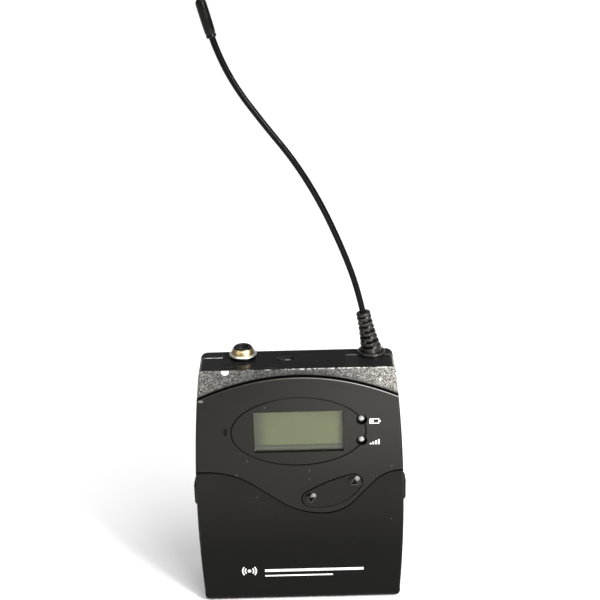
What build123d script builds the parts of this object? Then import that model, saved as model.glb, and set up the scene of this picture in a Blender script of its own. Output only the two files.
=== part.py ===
from build123d import *
import math
import os

# Wireless bodypack transmitter. Millimetres. The pack stands on its lower end:
# +Z runs up the case, the front faces -Y and +X is to the right of someone looking at it.
# The origin is the middle of the lower face.

# ---- case ----
HEIGHT = 78.0
THICKNESS = 20.0
HALF_WIDTH = 31.35         # at the widest level
WIDEST_Z = 31.0
SIDE_RADIUS = 420.0        # the sides bow outwards a little
WALL = 1.5
SPLIT_Y = 2.4              # rear shell behind it, front frame and cover before it
LOWER_CORNER = 3.0
UPPER_CORNER = 1.6
FRONT_EDGE = 0.9
BACK_EDGE = 4.0
TOP_CURVE = 25.0           # the front face bends back near its top
TOP_CURVE_START = 12.0     # below the top face
GAP = 0.3                  # between pieces that move past each other
SEAM = 0.2                 # half of a visible seam

# ---- front panel and inner deck ----
PANEL_T = 1.4
PANEL_ARCH = 75.4          # radius of the arched upper edge
PANEL_DROP = 2.0           # arch crown below the top face
ARCH_GAP = 0.45            # between the arch and the band
BAND_STEP = 0.45           # the painted band lies this far below the panel
DECK_T = 1.8
LOW_DECK_T = 0.8
FRAME_FLOOR_T = 1.0
CATCH_BAY = 5.4            # room beside the lower frame for the catches
OVAL_HALF_W = 19.9
OVAL_HALF_H = 11.1
GROOVE_W = 0.35
GROOVE_DEPTH = 0.3
NOTCH_R = 0.45            # half width of the small upright notch beside the oval
NOTCH_HALF = 0.75

# ---- wave line between the panel and the cover ----
LEFT_BEND_X = -20.1
LEFT_BEND_R = 24.0
LEFT_DIP_X = -0.3
LEFT_DIP_R = 22.0
RIGHT_DIP_X = 12.6
RIGHT_DIP_R = 12.0
RIGHT_BEND_X = 25.6
RIGHT_BEND_R = 11.0
LEFT_EDGE_RISE = 14.9      # the line's ends above its dip
RIGHT_EDGE_RISE = 14.3
DIP_BELOW_FLOOR = 0.35     # the dip below the frame's floor

# ---- cells ----
CELL_R = 7.25
CELL_L = 50.5
CELL_GAP = 0.3
CELL_FLOOR_GAP = 0.45
TRAY_WALL = 1.0
TRAY_HALF = 28.0

# ---- display and indicators ----
DISPLAY_W = 26.4
DISPLAY_H = 13.4
DISPLAY_BELOW_TOP = 18.8
WINDOW_T = 0.5
GLASS_T = 1.6
BACKLIGHT_T = 1.4
LED_X = 18.6
LED_UP = 3.6               # above and below the display's centre
LED_DOWN = 3.3
LED_R = 1.0
LED_HOLE_R = 1.65

# ---- circuit board ----
BOARD_FRONT = 5.4          # behind the front face
BOARD_T = 1.2
BOARD_HALF = 22.8
BOARD_TOP = 4.6            # below the top face
SWITCH_SIZE = 4.2
SWITCH_H = 1.1
PLUNGER_R = 0.9
PLUNGER_H = 0.35

# ---- rocker key ----
ROCKER_X = 9.9
ROCKER_RISE = 6.8          # centre above the frame's floor
ROCKER_ANGLE = 23.0
ROCKER_HALF_L = 9.53
ROCKER_UP = 3.83           # crown of its upper arc and depth of its lower one
ROCKER_DOWN = 4.15
ROCKER_END_R = 2.6
ROCKER_END_RISE = 0.68     # round ends above the long axis
ROCKER_T = 1.0
ROCKER_PROUD = 0.15
ROCKER_TILT = 3.0
ARROW_REACH = 7.15         # arrow domes along the key from between them
ARROW_SHIFT = 0.35         # that point along the key from its middle
ARROW_RISE = 1.0
ARROW_R = 2.1
DOME_R = 4.0
DOME_PROUD = 0.6
PIVOT_R = 0.45
PIVOT_BACK = 2.1           # pivot line behind the front face
RUNNING = 0.05

# ---- push buttons under the cover ----
POWER_X = -20.0
POWER_RISE = 8.6
SET_X = -12.5
SET_RISE = 4.6
BUTTON_R = 2.2
BUTTON_TRAVEL = 0.25
BUTTON_PROUD = 0.5

# ---- cover, hinge and catches ----
PIN_R = 0.6
LUG_WALL = 0.55
SKIN = 0.4
LUG_X = 20.0
LUG_W = 4.0
ARM_T = 1.0
PIN_HALF = 25.0
HINGE_RISE = 0.2
OPEN_ANGLE = 95.0
CATCH_RISE = 4.9           # catch centre above the frame's floor
CATCH_H = 7.3
CATCH_DEPTH = 4.9
CATCH_Y = -3.75
CATCH_PROUD = 1.0
FLANGE_T = 0.65
FLANGE_LIP = 0.7
CATCH_TRAVEL = 1.0
RETAINER_T = 0.7
LEAF_T = 0.2

# ---- screws ----
SCREW_R = 1.0
SCREW_HEAD_R = 1.9
SCREW_HEAD_T = 1.3
SCREW_SINK = 0.25
BOSS_R = 2.1
UPPER_SCREW_IN = 3.9       # inwards of the case's side
UPPER_SCREW_DROP = 12.0    # below the top face
LOWER_SCREW_IN = 9.24
LOWER_SCREW_RISE = 3.4     # above the frame's floor

# ---- top face ----
PLATE_LEFT = -22.0
PLATE_RIGHT = 14.5
PLATE_FRONT = -5.6
PLATE_BACK = 7.0
PLATE_T = 0.7
PLATE_CORNER = 1.5
JACK_X = -16.0
JACK_Y = 3.4
JACK_BORE_R = 1.8
JACK_BORE_DEPTH = 14.0
SLEEVE_R = 3.0
SLEEVE_H = 3.8
COLLAR_R = 4.05
COLLAR_T = 1.35
JACK_BODY_R = 3.6
NUT_R = 3.75
NUT_T = 1.2
MUTE_X = -4.7
MUTE_Y = 1.2
MUTE_R = 1.2
MUTE_TRAVEL = 2.6
MUTE_PROUD = 0.3
SOCKET_BOARD_DROP = 18.0
SOCKET_BOARD_T = 1.0

# ---- antenna ----
MAST_X = 22.3
MAST_Y = 3.5
FLANGE_R = 4.1
FLANGE_H = 1.2
BOOT_NECK_R = 2.6
BOOT_LEAN = 11.3           # degrees towards -X
BOOT_L = 12.6
BOOT_FOOT_R = 3.0
BOOT_TOP_R = 1.75
RIBS = 7
RIB_PROUD = 0.4
RIB_T = 1.0
FERRULE_R = 1.6
FERRULE_DOWN = 7.0
FERRULE_UP = 1.5
WHIP_R = 0.9
WHIP_IN = 3.0
TIP_R = 1.52
TIP_L = 10.9
# the whip's bends, from the top of the boot: X and Z offsets, joined by tangent arcs
WHIP_POINTS = [(-2.9, 11.6), (-6.6, 21.6), (-12.0, 34.0), (-19.0, 46.2), (-27.3, 57.0),
               (-34.8, 67.6), (-39.6, 77.9), (-43.3, 91.6)]

# ---- belt clip ----
CLIP_Z = 58.0
CLIP_Y = 6.0
CLIP_T = 0.9
CLIP_ARM_H = 8.0
CLIP_OUT = 29.9
CLIP_BACK_GAP = 2.6
CLIP_HALF_BLADE = 11.0
CLIP_LOW = 14.0
CLIP_PIN_R = 1.2
CLIP_PIN_L = 1.8
CLIP_FIT = 0.08
CLIP_RECESS = 5.6          # half height of the recess round each arm
LABEL_T = 0.15

# ---- worked out from the above ----
FRONT = -THICKNESS / 2
BACK = THICKNESS / 2
CURVE_Z = HEIGHT - TOP_CURVE_START
CELL_Z1 = WALL + CELL_FLOOR_GAP + CELL_R
CELL_Z2 = CELL_Z1 + 2 * CELL_R + CELL_GAP
FLOOR_Z = CELL_Z2 + CELL_R + CELL_GAP + 0.1          # under side of the frame's floor
WAVE_LOW = FLOOR_Z - DIP_BELOW_FLOOR
LEFT_EDGE_Z = WAVE_LOW + LEFT_EDGE_RISE
RIGHT_EDGE_Z = WAVE_LOW + RIGHT_EDGE_RISE
DECK_BACK = FRONT + PANEL_T + DECK_T
LOW_DECK = DECK_BACK - LOW_DECK_T                     # front of the deck under the cover
DISPLAY_Z = HEIGHT - DISPLAY_BELOW_TOP
ROCKER_Z = FLOOR_Z + ROCKER_RISE
PIVOT_Y = FRONT + PIVOT_BACK
BOARD_Y = FRONT + BOARD_FRONT
BOARD_BACK = BOARD_Y + BOARD_T
BOARD_LOW = FLOOR_Z + FRAME_FLOOR_T + 0.5
BOARD_HIGH = HEIGHT - BOARD_TOP
SWITCH_FACE = BOARD_Y - SWITCH_H
PLUNGER_FACE = SWITCH_FACE - PLUNGER_H
LUG_R = PIN_R + LUG_WALL
BARREL_R = LUG_R + GAP + SKIN
AXIS_Y = FRONT + BARREL_R
AXIS_Z = BARREL_R + HINGE_RISE
TONGUE_FRONT = AXIS_Y + BARREL_R + GAP
COVER_BACK = AXIS_Y + math.sqrt((SPLIT_Y - GAP / 2 - AXIS_Y) ** 2 - AXIS_Z ** 2)
CATCH_Z = FLOOR_Z + CATCH_RISE
POWER_Z = FLOOR_Z + POWER_RISE
SET_Z = FLOOR_Z + SET_RISE
JACK_TOP = HEIGHT + SLEEVE_H
PLATE_TOP = HEIGHT - 0.1
CLIP_PLATE_Y = BACK + CLIP_BACK_GAP
BOOT_BASE_Z = HEIGHT + FLANGE_H
LEAN = math.radians(BOOT_LEAN)
BOOT_TOP_X = MAST_X - BOOT_L * math.sin(LEAN)
BOOT_TOP_Z = BOOT_BASE_Z + BOOT_L * math.cos(LEAN)
UPPER_SCREW_Z = HEIGHT - UPPER_SCREW_DROP
LOWER_SCREW_Z = FLOOR_Z + LOWER_SCREW_RISE


# ---- shapes by their limits ----
def box(x0, x1, y0, y1, z0, z1):
    """A block between three pairs of limits."""
    return Pos((x0 + x1) / 2, (y0 + y1) / 2, (z0 + z1) / 2) * Box(x1 - x0, y1 - y0, z1 - z0)


def rod_x(radius, x0, x1, y, z):
    """A round bar along X."""
    return Pos((x0 + x1) / 2, y, z) * Rot(0, 90, 0) * Cylinder(radius, x1 - x0)


def rod_y(radius, x, y0, y1, z):
    """A round bar along Y."""
    return Pos(x, (y0 + y1) / 2, z) * Rot(90, 0, 0) * Cylinder(radius, y1 - y0)


def rod_z(radius, x, y, z0, z1):
    """A round bar along Z."""
    return Pos(x, y, (z0 + z1) / 2) * Cylinder(radius, z1 - z0)


def through(sketch, y0, y1):
    """A front-view outline carried from y0 back to y1."""
    return extrude(Plane.XZ.offset(-y0) * sketch, amount=y0 - y1)


def across(sketch, x0, x1):
    """A side-view outline (Y, Z) carried from x0 to x1."""
    return extrude(Plane.YZ.offset(x0) * sketch, amount=x1 - x0)


def half_width(z, inset=0.0):
    """Half the case's width at level z, less an inset."""
    bow = SIDE_RADIUS - math.sqrt(SIDE_RADIUS ** 2 - (z - WIDEST_Z) ** 2)
    return HALF_WIDTH - inset - bow


def screw_places():
    """Left and right, upper and lower screws: X and Z."""
    upper = half_width(UPPER_SCREW_Z) - UPPER_SCREW_IN
    lower = half_width(LOWER_SCREW_Z) - LOWER_SCREW_IN
    return [(side * x, z) for x, z in ((upper, UPPER_SCREW_Z), (lower, LOWER_SCREW_Z))
            for side in (-1, 1)]


# ---- the case's outer form ----
def case_outline(inset):
    """Front view of the case, shrunk by the inset."""
    low = inset
    high = HEIGHT - inset
    mid = (low + high) / 2
    with BuildSketch() as outline:
        with BuildLine():
            Line((-half_width(low, inset), low), (half_width(low, inset), low))
            ThreePointArc((half_width(low, inset), low), (half_width(mid, inset), mid),
                          (half_width(high, inset), high))
            Line((half_width(high, inset), high), (-half_width(high, inset), high))
            ThreePointArc((-half_width(high, inset), high), (-half_width(mid, inset), mid),
                          (-half_width(low, inset), low))
        make_face()
        fillet(outline.vertices().sort_by(Axis.Y)[:2], max(LOWER_CORNER - inset, 0.5))
        fillet(outline.vertices().sort_by(Axis.Y)[-2:], max(UPPER_CORNER - inset, 0.3))
    return outline.sketch


def behind(depth):
    """All that lies more than a depth behind the front face, which bends back at its top."""
    radius = TOP_CURVE - depth
    centre_y = FRONT + TOP_CURVE
    lean = math.sqrt(0.5) * radius
    far = THICKNESS * 3
    with BuildSketch() as side:
        with BuildLine():
            Polyline((FRONT + depth, CURVE_Z), (FRONT + depth, -far), (far, -far),
                     (far, CURVE_Z + radius), (centre_y, CURVE_Z + radius))
            ThreePointArc((centre_y, CURVE_Z + radius), (centre_y - lean, CURVE_Z + lean),
                          (FRONT + depth, CURVE_Z))
        make_face()
    return across(side.sketch, -HALF_WIDTH * 2, HALF_WIDTH * 2)


def case_form(inset=0.0, front_edge=0.0):
    """The case as one block, shrunk by the inset, with its back edge rounded."""
    depth = THICKNESS / 2 - inset
    form = extrude(Plane.XZ * case_outline(inset), amount=depth, both=True)
    rear = [edge for edge in form.edges() if abs(edge.center().Y - depth) < 0.01]
    form = fillet(rear, max(BACK_EDGE - inset, 0.5))
    if front_edge > 0:
        face = [edge for edge in form.edges() if abs(edge.center().Y + depth) < 0.01]
        form = fillet(face, front_edge)
    return form & behind(inset)


def wave(shift, upper):
    """Region above or below the wave line, which is moved up by the shift."""
    far = HALF_WIDTH * 2
    limit = HEIGHT * 2 if upper else -HEIGHT
    left = LEFT_EDGE_Z + shift
    right = RIGHT_EDGE_Z + shift
    low = WAVE_LOW + shift
    with BuildSketch() as region:
        with BuildLine():
            FilletPolyline((-far, left), (LEFT_BEND_X, left), (LEFT_DIP_X, low),
                           (RIGHT_DIP_X, low), (RIGHT_BEND_X, right), (far, right),
                           radius=[LEFT_BEND_R, LEFT_DIP_R, RIGHT_DIP_R, RIGHT_BEND_R])
            Polyline((far, right), (far, limit), (-far, limit), (-far, left))
        make_face()
    return region.sketch


def swing(extra):
    """What the cover's sides sweep: round the hinge line, out to its two upper corners."""
    left = rod_x(LEFT_EDGE_Z - SEAM - AXIS_Z + extra, -HALF_WIDTH * 2, 0, AXIS_Y, AXIS_Z)
    right = rod_x(RIGHT_EDGE_Z - SEAM - AXIS_Z + extra, 0, HALF_WIDTH * 2, AXIS_Y, AXIS_Z)
    return left + right


def arch(extra):
    """Region under the panel's arched upper edge."""
    return Pos(0, HEIGHT - PANEL_DROP - PANEL_ARCH) * Circle(PANEL_ARCH + extra)


def lens(extra):
    """Front view of the rocker key: round ends, a flat upper arc and a deep lower one."""
    end = ROCKER_END_R
    across_ends = ROCKER_HALF_L - end
    sides = []
    for crown, rise in ((ROCKER_UP, ROCKER_END_RISE), (ROCKER_DOWN, -ROCKER_END_RISE)):
        drop = crown - rise
        radius = (across_ends ** 2 + drop ** 2 - end ** 2) / (2 * (drop - end))
        share = (radius + extra) / (radius - end)
        sides.append((across_ends * share, crown - radius + (radius - drop) * share))
    (up_x, up_z), (low_x, low_z) = sides
    reach = ROCKER_HALF_L + extra
    with BuildSketch() as outline:
        with BuildLine():
            ThreePointArc((-up_x, up_z), (0, ROCKER_UP + extra), (up_x, up_z))
            ThreePointArc((up_x, up_z), (reach, ROCKER_END_RISE), (low_x, -low_z))
            ThreePointArc((low_x, -low_z), (0, -ROCKER_DOWN - extra), (-low_x, -low_z))
            ThreePointArc((-low_x, -low_z), (-reach, ROCKER_END_RISE), (-up_x, up_z))
        make_face()
    return Pos(ROCKER_X, ROCKER_Z) * Rot(0, 0, ROCKER_ANGLE) * outline.sketch


def on_rocker(along):
    """Point on the line through the rocker's two arrows, from between them: X and Z."""
    turn = math.radians(ROCKER_ANGLE)
    along += ARROW_SHIFT
    x = ROCKER_X + along * math.cos(turn) - ARROW_RISE * math.sin(turn)
    return x, ROCKER_Z + along * math.sin(turn) + ARROW_RISE * math.cos(turn)


def display_block(margin, y0, y1):
    """A block of the display's opening, grown by a margin."""
    half_w = DISPLAY_W / 2 + margin
    half_h = DISPLAY_H / 2 + margin
    return box(-half_w, half_w, y0, y1, DISPLAY_Z - half_h, DISPLAY_Z + half_h)


def led_places():
    """Upper and lower indicator levels."""
    return [DISPLAY_Z + LED_UP, DISPLAY_Z - LED_DOWN]


# ---- rear shell ----
def top_cuts():
    """What the top plate, the socket, the mute slide and the antenna need cut from the top wall."""
    plate = box(PLATE_LEFT - 0.1, PLATE_RIGHT + 0.1, PLATE_FRONT - 0.1, PLATE_BACK + 0.1,
                PLATE_TOP - PLATE_T, HEIGHT + 1)
    low = HEIGHT - WALL - 1
    socket = rod_z(SLEEVE_R + 0.1, JACK_X, JACK_Y, low, HEIGHT + 1)
    mast = rod_z(BOOT_NECK_R, MAST_X, MAST_Y, low, HEIGHT + 1)
    return plate + socket + mute_slot(low, HEIGHT + 1) + mast


def mute_slot(z0, z1):
    """The slot that the mute knob slides in."""
    room = MUTE_R + GAP / 2
    first = rod_z(room, MUTE_X, MUTE_Y, z0, z1)
    last = rod_z(room, MUTE_X + MUTE_TRAVEL, MUTE_Y, z0, z1)
    return first + last + box(MUTE_X, MUTE_X + MUTE_TRAVEL, MUTE_Y - room, MUTE_Y + room, z0, z1)


def floor_half():
    """Half width of the shell's floor, between the cover's side walls."""
    return half_width(0) - WALL - GAP


def rear_shell():
    """Tub behind the split, with the floor's tongue, hinge lugs, screw posts and clip sockets."""
    form = case_form()
    tub = form & box(-60, 60, SPLIT_Y, 60, -1, HEIGHT + 1)
    tub -= case_form(WALL)
    for x, z in screw_places():
        tub += rod_y(BOSS_R, x, SPLIT_Y, BACK - WALL / 2, z) & form
    for side in (-1, 1):
        pad = box(CLIP_OUT - CLIP_T - 2.6, CLIP_OUT, SPLIT_Y, BACK - WALL / 2,
                  CLIP_Z - CLIP_RECESS - 1, CLIP_Z + CLIP_RECESS + 1)
        tub += (pad if side > 0 else mirror(pad, Plane.YZ)) & form
    half = floor_half()
    tub += box(-half, half, TONGUE_FRONT, SPLIT_Y + 1, 0, WALL) & form
    for side in (-1, 1):
        tub += hinge_lug(side * LUG_X)
    for x, z in screw_places():
        tub -= rod_y(SCREW_R, x, SPLIT_Y - 1, BACK, z)
        tub -= rod_y(SCREW_HEAD_R + 0.05, x, BACK - SCREW_SINK - SCREW_HEAD_T, BACK + 1, z)
    for side in (-1, 1):
        cut = clip_recess()
        tub -= cut if side > 0 else mirror(cut, Plane.YZ)
    tub -= top_cuts()
    return tub


def hinge_lug(x):
    """A bored eye on an arm that reaches forward from the shell's floor."""
    x0 = x - LUG_W / 2
    x1 = x + LUG_W / 2
    root = TONGUE_FRONT + 2.0
    lug = rod_x(LUG_R, x0, x1, AXIS_Y, AXIS_Z)
    lug += box(x0, x1, AXIS_Y, root, AXIS_Z - ARM_T / 2, AXIS_Z + ARM_T / 2)
    lug += box(x0, x1, TONGUE_FRONT, root, WALL / 2, AXIS_Z + ARM_T / 2)
    return lug - rod_x(PIN_R, x0 - 1, x1 + 1, AXIS_Y, AXIS_Z)


def clip_recess():
    """Recess in the right side for a clip arm, with the hole its stub turns in."""
    inner = CLIP_OUT - CLIP_T - 0.2
    slot = box(inner, 60, CLIP_Y - 4.0, BACK + 5, CLIP_Z - CLIP_RECESS, CLIP_Z + CLIP_RECESS)
    hole = rod_x(CLIP_PIN_R + CLIP_FIT, inner - CLIP_PIN_L, inner + 1, CLIP_Y, CLIP_Z)
    return slot + hole


# ---- front frame and panel ----
def front_frame():
    """Band, upper sides, half of the top wall, and the deck that carries panel and keys."""
    outer = case_form() & behind(BAND_STEP)
    ahead = box(-60, 60, -60, SPLIT_Y, FLOOR_Z, HEIGHT + 1)
    hollow = case_form(WALL) & behind(PANEL_T + DECK_T)
    upper = (outer & ahead) - hollow - swing(GAP)
    pocket = through(wave(-SEAM, True) & arch(ARCH_GAP), FRONT - 1, BACK)
    upper -= pocket - behind(PANEL_T)
    frame = upper + lower_frame()
    frame -= display_block(0.6, FRONT, DECK_BACK + 1)
    for z in led_places():
        frame -= rod_y(LED_R + 0.15, LED_X, FRONT, DECK_BACK + 1, z)
    frame -= through(lens(GAP), FRONT, DECK_BACK + 1)
    frame -= rocker_pivot()
    for x, z in ((POWER_X, POWER_Z), (SET_X, SET_Z)):
        frame -= rod_y(BUTTON_R + 0.2, x, FRONT, DECK_BACK + 1, z)
    for x, z in screw_places():
        frame += rod_y(BOSS_R, x, DECK_BACK - LOW_DECK_T / 2, SPLIT_Y, z) & case_form()
        frame -= rod_y(SCREW_R, x, DECK_BACK, SPLIT_Y + 1, z)
    return frame - top_cuts()


def lower_frame():
    """The deck under the cover, with its floor, its narrow sides and the step under the panel."""
    half = half_width(FLOOR_Z) - CATCH_BAY
    top = LEFT_EDGE_Z + 1.5
    block = box(-half, half, LOW_DECK, SPLIT_Y, FLOOR_Z, top)
    room = box(-half + 1, half - 1, LOW_DECK + LOW_DECK_T, SPLIT_Y + 1,
               FLOOR_Z + FRAME_FLOOR_T, top + 1)
    step = through(wave(0.35, True), FRONT + PANEL_T, LOW_DECK + LOW_DECK_T)
    step &= box(-half_width(FLOOR_Z, WALL), half_width(FLOOR_Z, WALL), -60, 60, FLOOR_Z, top)
    shelf = (swing(GAP + 1) - swing(GAP)) & case_form(WALL / 2)
    shelf &= box(-60, 60, DECK_BACK - LOW_DECK_T, SPLIT_Y, FLOOR_Z, top + 1)
    shelf -= box(-half + 1, half - 1, -60, 60, FLOOR_Z, top + 2)
    return (block - room) + (step - swing_corners()) + shelf


def swing_corners():
    """Room that the cover's upper corners sweep beside the step."""
    return swing(GAP) - box(-HALF_WIDTH + CATCH_BAY, HALF_WIDTH - CATCH_BAY, -60, 60, -60, 90)


def front_panel():
    """Smooth plate between the wave line and the arch, with its openings and oval groove."""
    region = wave(SEAM, True) & arch(0)
    panel = case_form(0, FRONT_EDGE) & through(region, FRONT - 1, BACK)
    panel -= behind(PANEL_T)
    panel -= display_block(0, FRONT - 1, BACK)
    for z in led_places():
        panel -= rod_y(LED_HOLE_R, LED_X, FRONT - 1, BACK, z)
    panel -= through(lens(GAP), FRONT - 1, BACK)
    oval = Ellipse(OVAL_HALF_W + GROOVE_W / 2, OVAL_HALF_H + GROOVE_W / 2)
    oval -= Ellipse(OVAL_HALF_W - GROOVE_W / 2, OVAL_HALF_H - GROOVE_W / 2)
    panel -= through(Pos(0, DISPLAY_Z) * oval, FRONT - 1, FRONT + GROOVE_DEPTH)
    x = -OVAL_HALF_W - 1.75
    z = DISPLAY_Z + 0.55
    for end in (-NOTCH_HALF, NOTCH_HALF):
        panel -= rod_y(NOTCH_R, x, FRONT - 1, FRONT + GROOVE_DEPTH, z + end)
    panel -= box(x - NOTCH_R, x + NOTCH_R, FRONT - 1, FRONT + GROOVE_DEPTH,
                 z - NOTCH_HALF, z + NOTCH_HALF)
    return panel


# ---- display ----
def display_window():
    """Clear window inside the panel's opening."""
    return display_block(-0.05, FRONT + PANEL_T - WINDOW_T, FRONT + PANEL_T)


def lcd_glass():
    """Display cell behind the window."""
    return display_block(0.5, FRONT + PANEL_T, FRONT + PANEL_T + GLASS_T) & behind(PANEL_T)


def lcd_backlight():
    """Light guide behind the display cell."""
    front = FRONT + PANEL_T + GLASS_T
    return display_block(-1.2, front, front + BACKLIGHT_T)


def contact_strips():
    """Rubber strips that join the display to the board, above and below the light guide."""
    y0 = FRONT + PANEL_T + GLASS_T
    half = DISPLAY_W / 2 - 1
    rows = []
    for side in (-1, 1):
        z = DISPLAY_Z + side * (DISPLAY_H / 2 - 0.3)
        rows.append(box(-half, half, y0, BOARD_Y, z - 0.7, z + 0.7))
    return Compound(children=rows)


# ---- board ----
def main_board():
    """The main circuit board, notched round the lower screw posts."""
    board = box(-BOARD_HALF, BOARD_HALF, BOARD_Y, BOARD_BACK, BOARD_LOW, BOARD_HIGH)
    for x, z in screw_places():
        board -= rod_y(BOSS_R + 0.4, x, BOARD_Y - 1, BOARD_BACK + 1, z)
    lower_x, lower_z = screw_places()[-1]
    notch = box(lower_x, 60, BOARD_Y - 1, BOARD_BACK + 1, 0, lower_z + BOSS_R + 0.4)
    return board - notch - mirror(notch, Plane.YZ)


def board_components():
    """Chips, coils and capacitors on the back of the board."""
    y = BOARD_BACK
    parts = [box(-20, -9, y, y + 1.4, DISPLAY_Z - 7, DISPLAY_Z + 4)]
    parts.append(box(-7, -1, y, y + 1.2, DISPLAY_Z - 6, DISPLAY_Z))
    parts.append(box(-6, 4, y, y + 3.4, DISPLAY_Z + 4, DISPLAY_Z + 8))
    for column in range(4):
        x = -18 + column * 3.4
        parts.append(box(x, x + 1.6, y, y + 0.8, DISPLAY_Z + 6, DISPLAY_Z + 7.2))
        parts.append(rod_y(1.6, x - 0.6 + column, y, y + 4.2, DISPLAY_Z - 12))
    return Compound(children=parts)


def rf_shield():
    """Thin tinned lid over the radio stage."""
    x0, x1 = 6.0, 21.0
    z0, z1 = DISPLAY_Z - 8, DISPLAY_Z + 11
    skin = 0.3
    lid = box(x0, x1, BOARD_BACK, BOARD_BACK + 3.6, z0, z1)
    return lid - box(x0 + skin, x1 - skin, BOARD_BACK - 1, BOARD_BACK + 3.6 - skin,
                     z0 + skin, z1 - skin)


def switch_places():
    """Where the four switches sit: under both rocker arrows and both buttons."""
    return [on_rocker(ARROW_REACH), on_rocker(-ARROW_REACH),
            (POWER_X, POWER_Z), (SET_X, SET_Z)]


def tact_switches():
    """Four small push switches on the front of the board."""
    half = SWITCH_SIZE / 2
    parts = []
    for x, z in switch_places():
        body = box(x - half, x + half, SWITCH_FACE, BOARD_Y, z - half, z + half)
        parts.append(body + rod_y(PLUNGER_R, x, PLUNGER_FACE, SWITCH_FACE, z))
    return Compound(children=parts)


def led(z):
    """Round indicator with a domed end, from the board to just under the panel's face."""
    tip = FRONT + 0.35
    body = rod_y(LED_R, LED_X, tip + LED_R, BOARD_Y, z)
    return body + Pos(LED_X, tip + LED_R, z) * Sphere(LED_R)


# ---- keys ----
def rocker_key():
    """Lens-shaped key with two arrow domes, a bored rib to tilt on and two posts."""
    face = FRONT - ROCKER_PROUD
    foot = PIVOT_Y + PIVOT_R + 0.4
    key = through(lens(0), face, face + ROCKER_T)
    rib = through(lens(-0.9), face, foot)
    turn = Pos(ROCKER_X, 0, ROCKER_Z) * Rot(0, -ROCKER_ANGLE, 0)
    key += rib & (turn * Box(3.2, 60, 60))
    key -= turn * (Pos(0, PIVOT_Y, 0) * Cylinder(PIVOT_R + RUNNING, 60))
    for reach in (-ARROW_REACH, ARROW_REACH):
        x, z = on_rocker(reach)
        dome = Pos(x, face - DOME_PROUD + DOME_R, z) * Sphere(DOME_R)
        dome &= rod_y(ARROW_R, x, face - 1, face + ROCKER_T / 2, z)
        key += dome & through(lens(-0.1), face - 1, face + ROCKER_T)
        lift = ARROW_REACH * math.sin(math.radians(ROCKER_TILT))
        key += rod_y(0.8, x, face + ROCKER_T / 2, PLUNGER_FACE - lift - 0.05, z)
    return key


def rocker_pivot():
    """Pin across the key's middle, held in the frame on both sides."""
    turn = Pos(ROCKER_X, 0, ROCKER_Z) * Rot(0, -ROCKER_ANGLE, 0)
    return turn * (Pos(0, PIVOT_Y, 0) * Cylinder(PIVOT_R, ROCKER_UP + ROCKER_DOWN + 2.4))


def push_button(x, z):
    """Round button with a retaining rim behind the deck."""
    top = LOW_DECK - BUTTON_PROUD
    rim = LOW_DECK + LOW_DECK_T + 0.05
    button = rod_y(BUTTON_R, x, top, rim + 0.4, z)
    crown = [edge for edge in button.edges() if abs(edge.center().Y - top) < 0.01]
    button = fillet(crown, 0.3)
    button += rod_y(BUTTON_R + 0.6, x, rim, rim + 0.4, z)
    return button + rod_y(0.8, x, rim, PLUNGER_FACE - BUTTON_TRAVEL - 0.05, z)


# ---- cover ----
def battery_cover():
    """Fold-down front and sides, with a hinge barrel along the lower front edge."""
    zone = through(wave(-SEAM, False), FRONT - 1, COVER_BACK)
    shell = case_form(0, FRONT_EDGE) - case_form(WALL)
    cover = shell & zone & swing(0)
    inside = floor_half() + GAP
    cover -= box(-inside, inside, AXIS_Y, SPLIT_Y + 1, -1, AXIS_Z)
    cover += rod_x(BARREL_R, -60, 60, AXIS_Y, AXIS_Z) & case_form()
    corner = box(-60, 60, FRONT - 1, AXIS_Y, -1, AXIS_Z)
    cover -= corner - rod_x(BARREL_R, -70, 70, AXIS_Y, AXIS_Z)
    cover -= rod_x(PIN_R + RUNNING, -PIN_HALF - 0.2, PIN_HALF + 0.2, AXIS_Y, AXIS_Z)
    for side in (-1, 1):
        cover -= lug_room(side * LUG_X)
        window = catch_block(0.2, 0, 60)
        cover -= window if side > 0 else mirror(window, Plane.YZ)
    return cover


def lug_room(x):
    """Room for one hinge lug and for its arm as the cover turns."""
    x0 = x - LUG_W / 2 - GAP / 2
    x1 = x + LUG_W / 2 + GAP / 2
    reach = BARREL_R * 3
    spread = 42.0
    steps = 8
    room = rod_x(LUG_R + GAP, x0, x1, AXIS_Y, AXIS_Z)
    points = [(0, 0)]
    for step in range(steps + 1):
        angle = math.radians(spread - step * (OPEN_ANGLE + 2 * spread) / steps)
        points.append((reach * math.cos(angle), reach * math.sin(angle)))
    with BuildSketch() as fan:
        with BuildLine():
            Polyline(*points, close=True)
        make_face()
    return room + Pos(0, AXIS_Y, AXIS_Z) * across(fan.sketch, x0, x1)


def hinge_pin():
    """Steel pin through the cover's barrel and both lugs."""
    return rod_x(PIN_R, -PIN_HALF, PIN_HALF, AXIS_Y, AXIS_Z)


# ---- catches, right-hand side; the left one is its mirror image ----
def catch_inner():
    """Distance of the catch's inner face from the middle."""
    return half_width(CATCH_Z + CATCH_H / 2 + FLANGE_LIP, WALL) - GAP - FLANGE_T


def catch_block(margin, x0, x1):
    """The catch's window in the cover, less or more a margin."""
    return box(x0, x1, CATCH_Y - CATCH_DEPTH / 2 - margin, CATCH_Y + CATCH_DEPTH / 2 + margin,
               CATCH_Z - CATCH_H / 2 - margin, CATCH_Z + CATCH_H / 2 + margin)


def catch():
    """Squeeze pad with grip ridges outside and a flange inside the cover."""
    inner = catch_inner()
    outer = half_width(CATCH_Z) + CATCH_PROUD
    pad = catch_block(0, inner, outer)
    edge = [line for line in pad.edges() if abs(line.center().X - outer) < 0.01]
    pad = fillet(edge, 0.35)
    return pad + catch_block(FLANGE_LIP, inner, inner + FLANGE_T)


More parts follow.
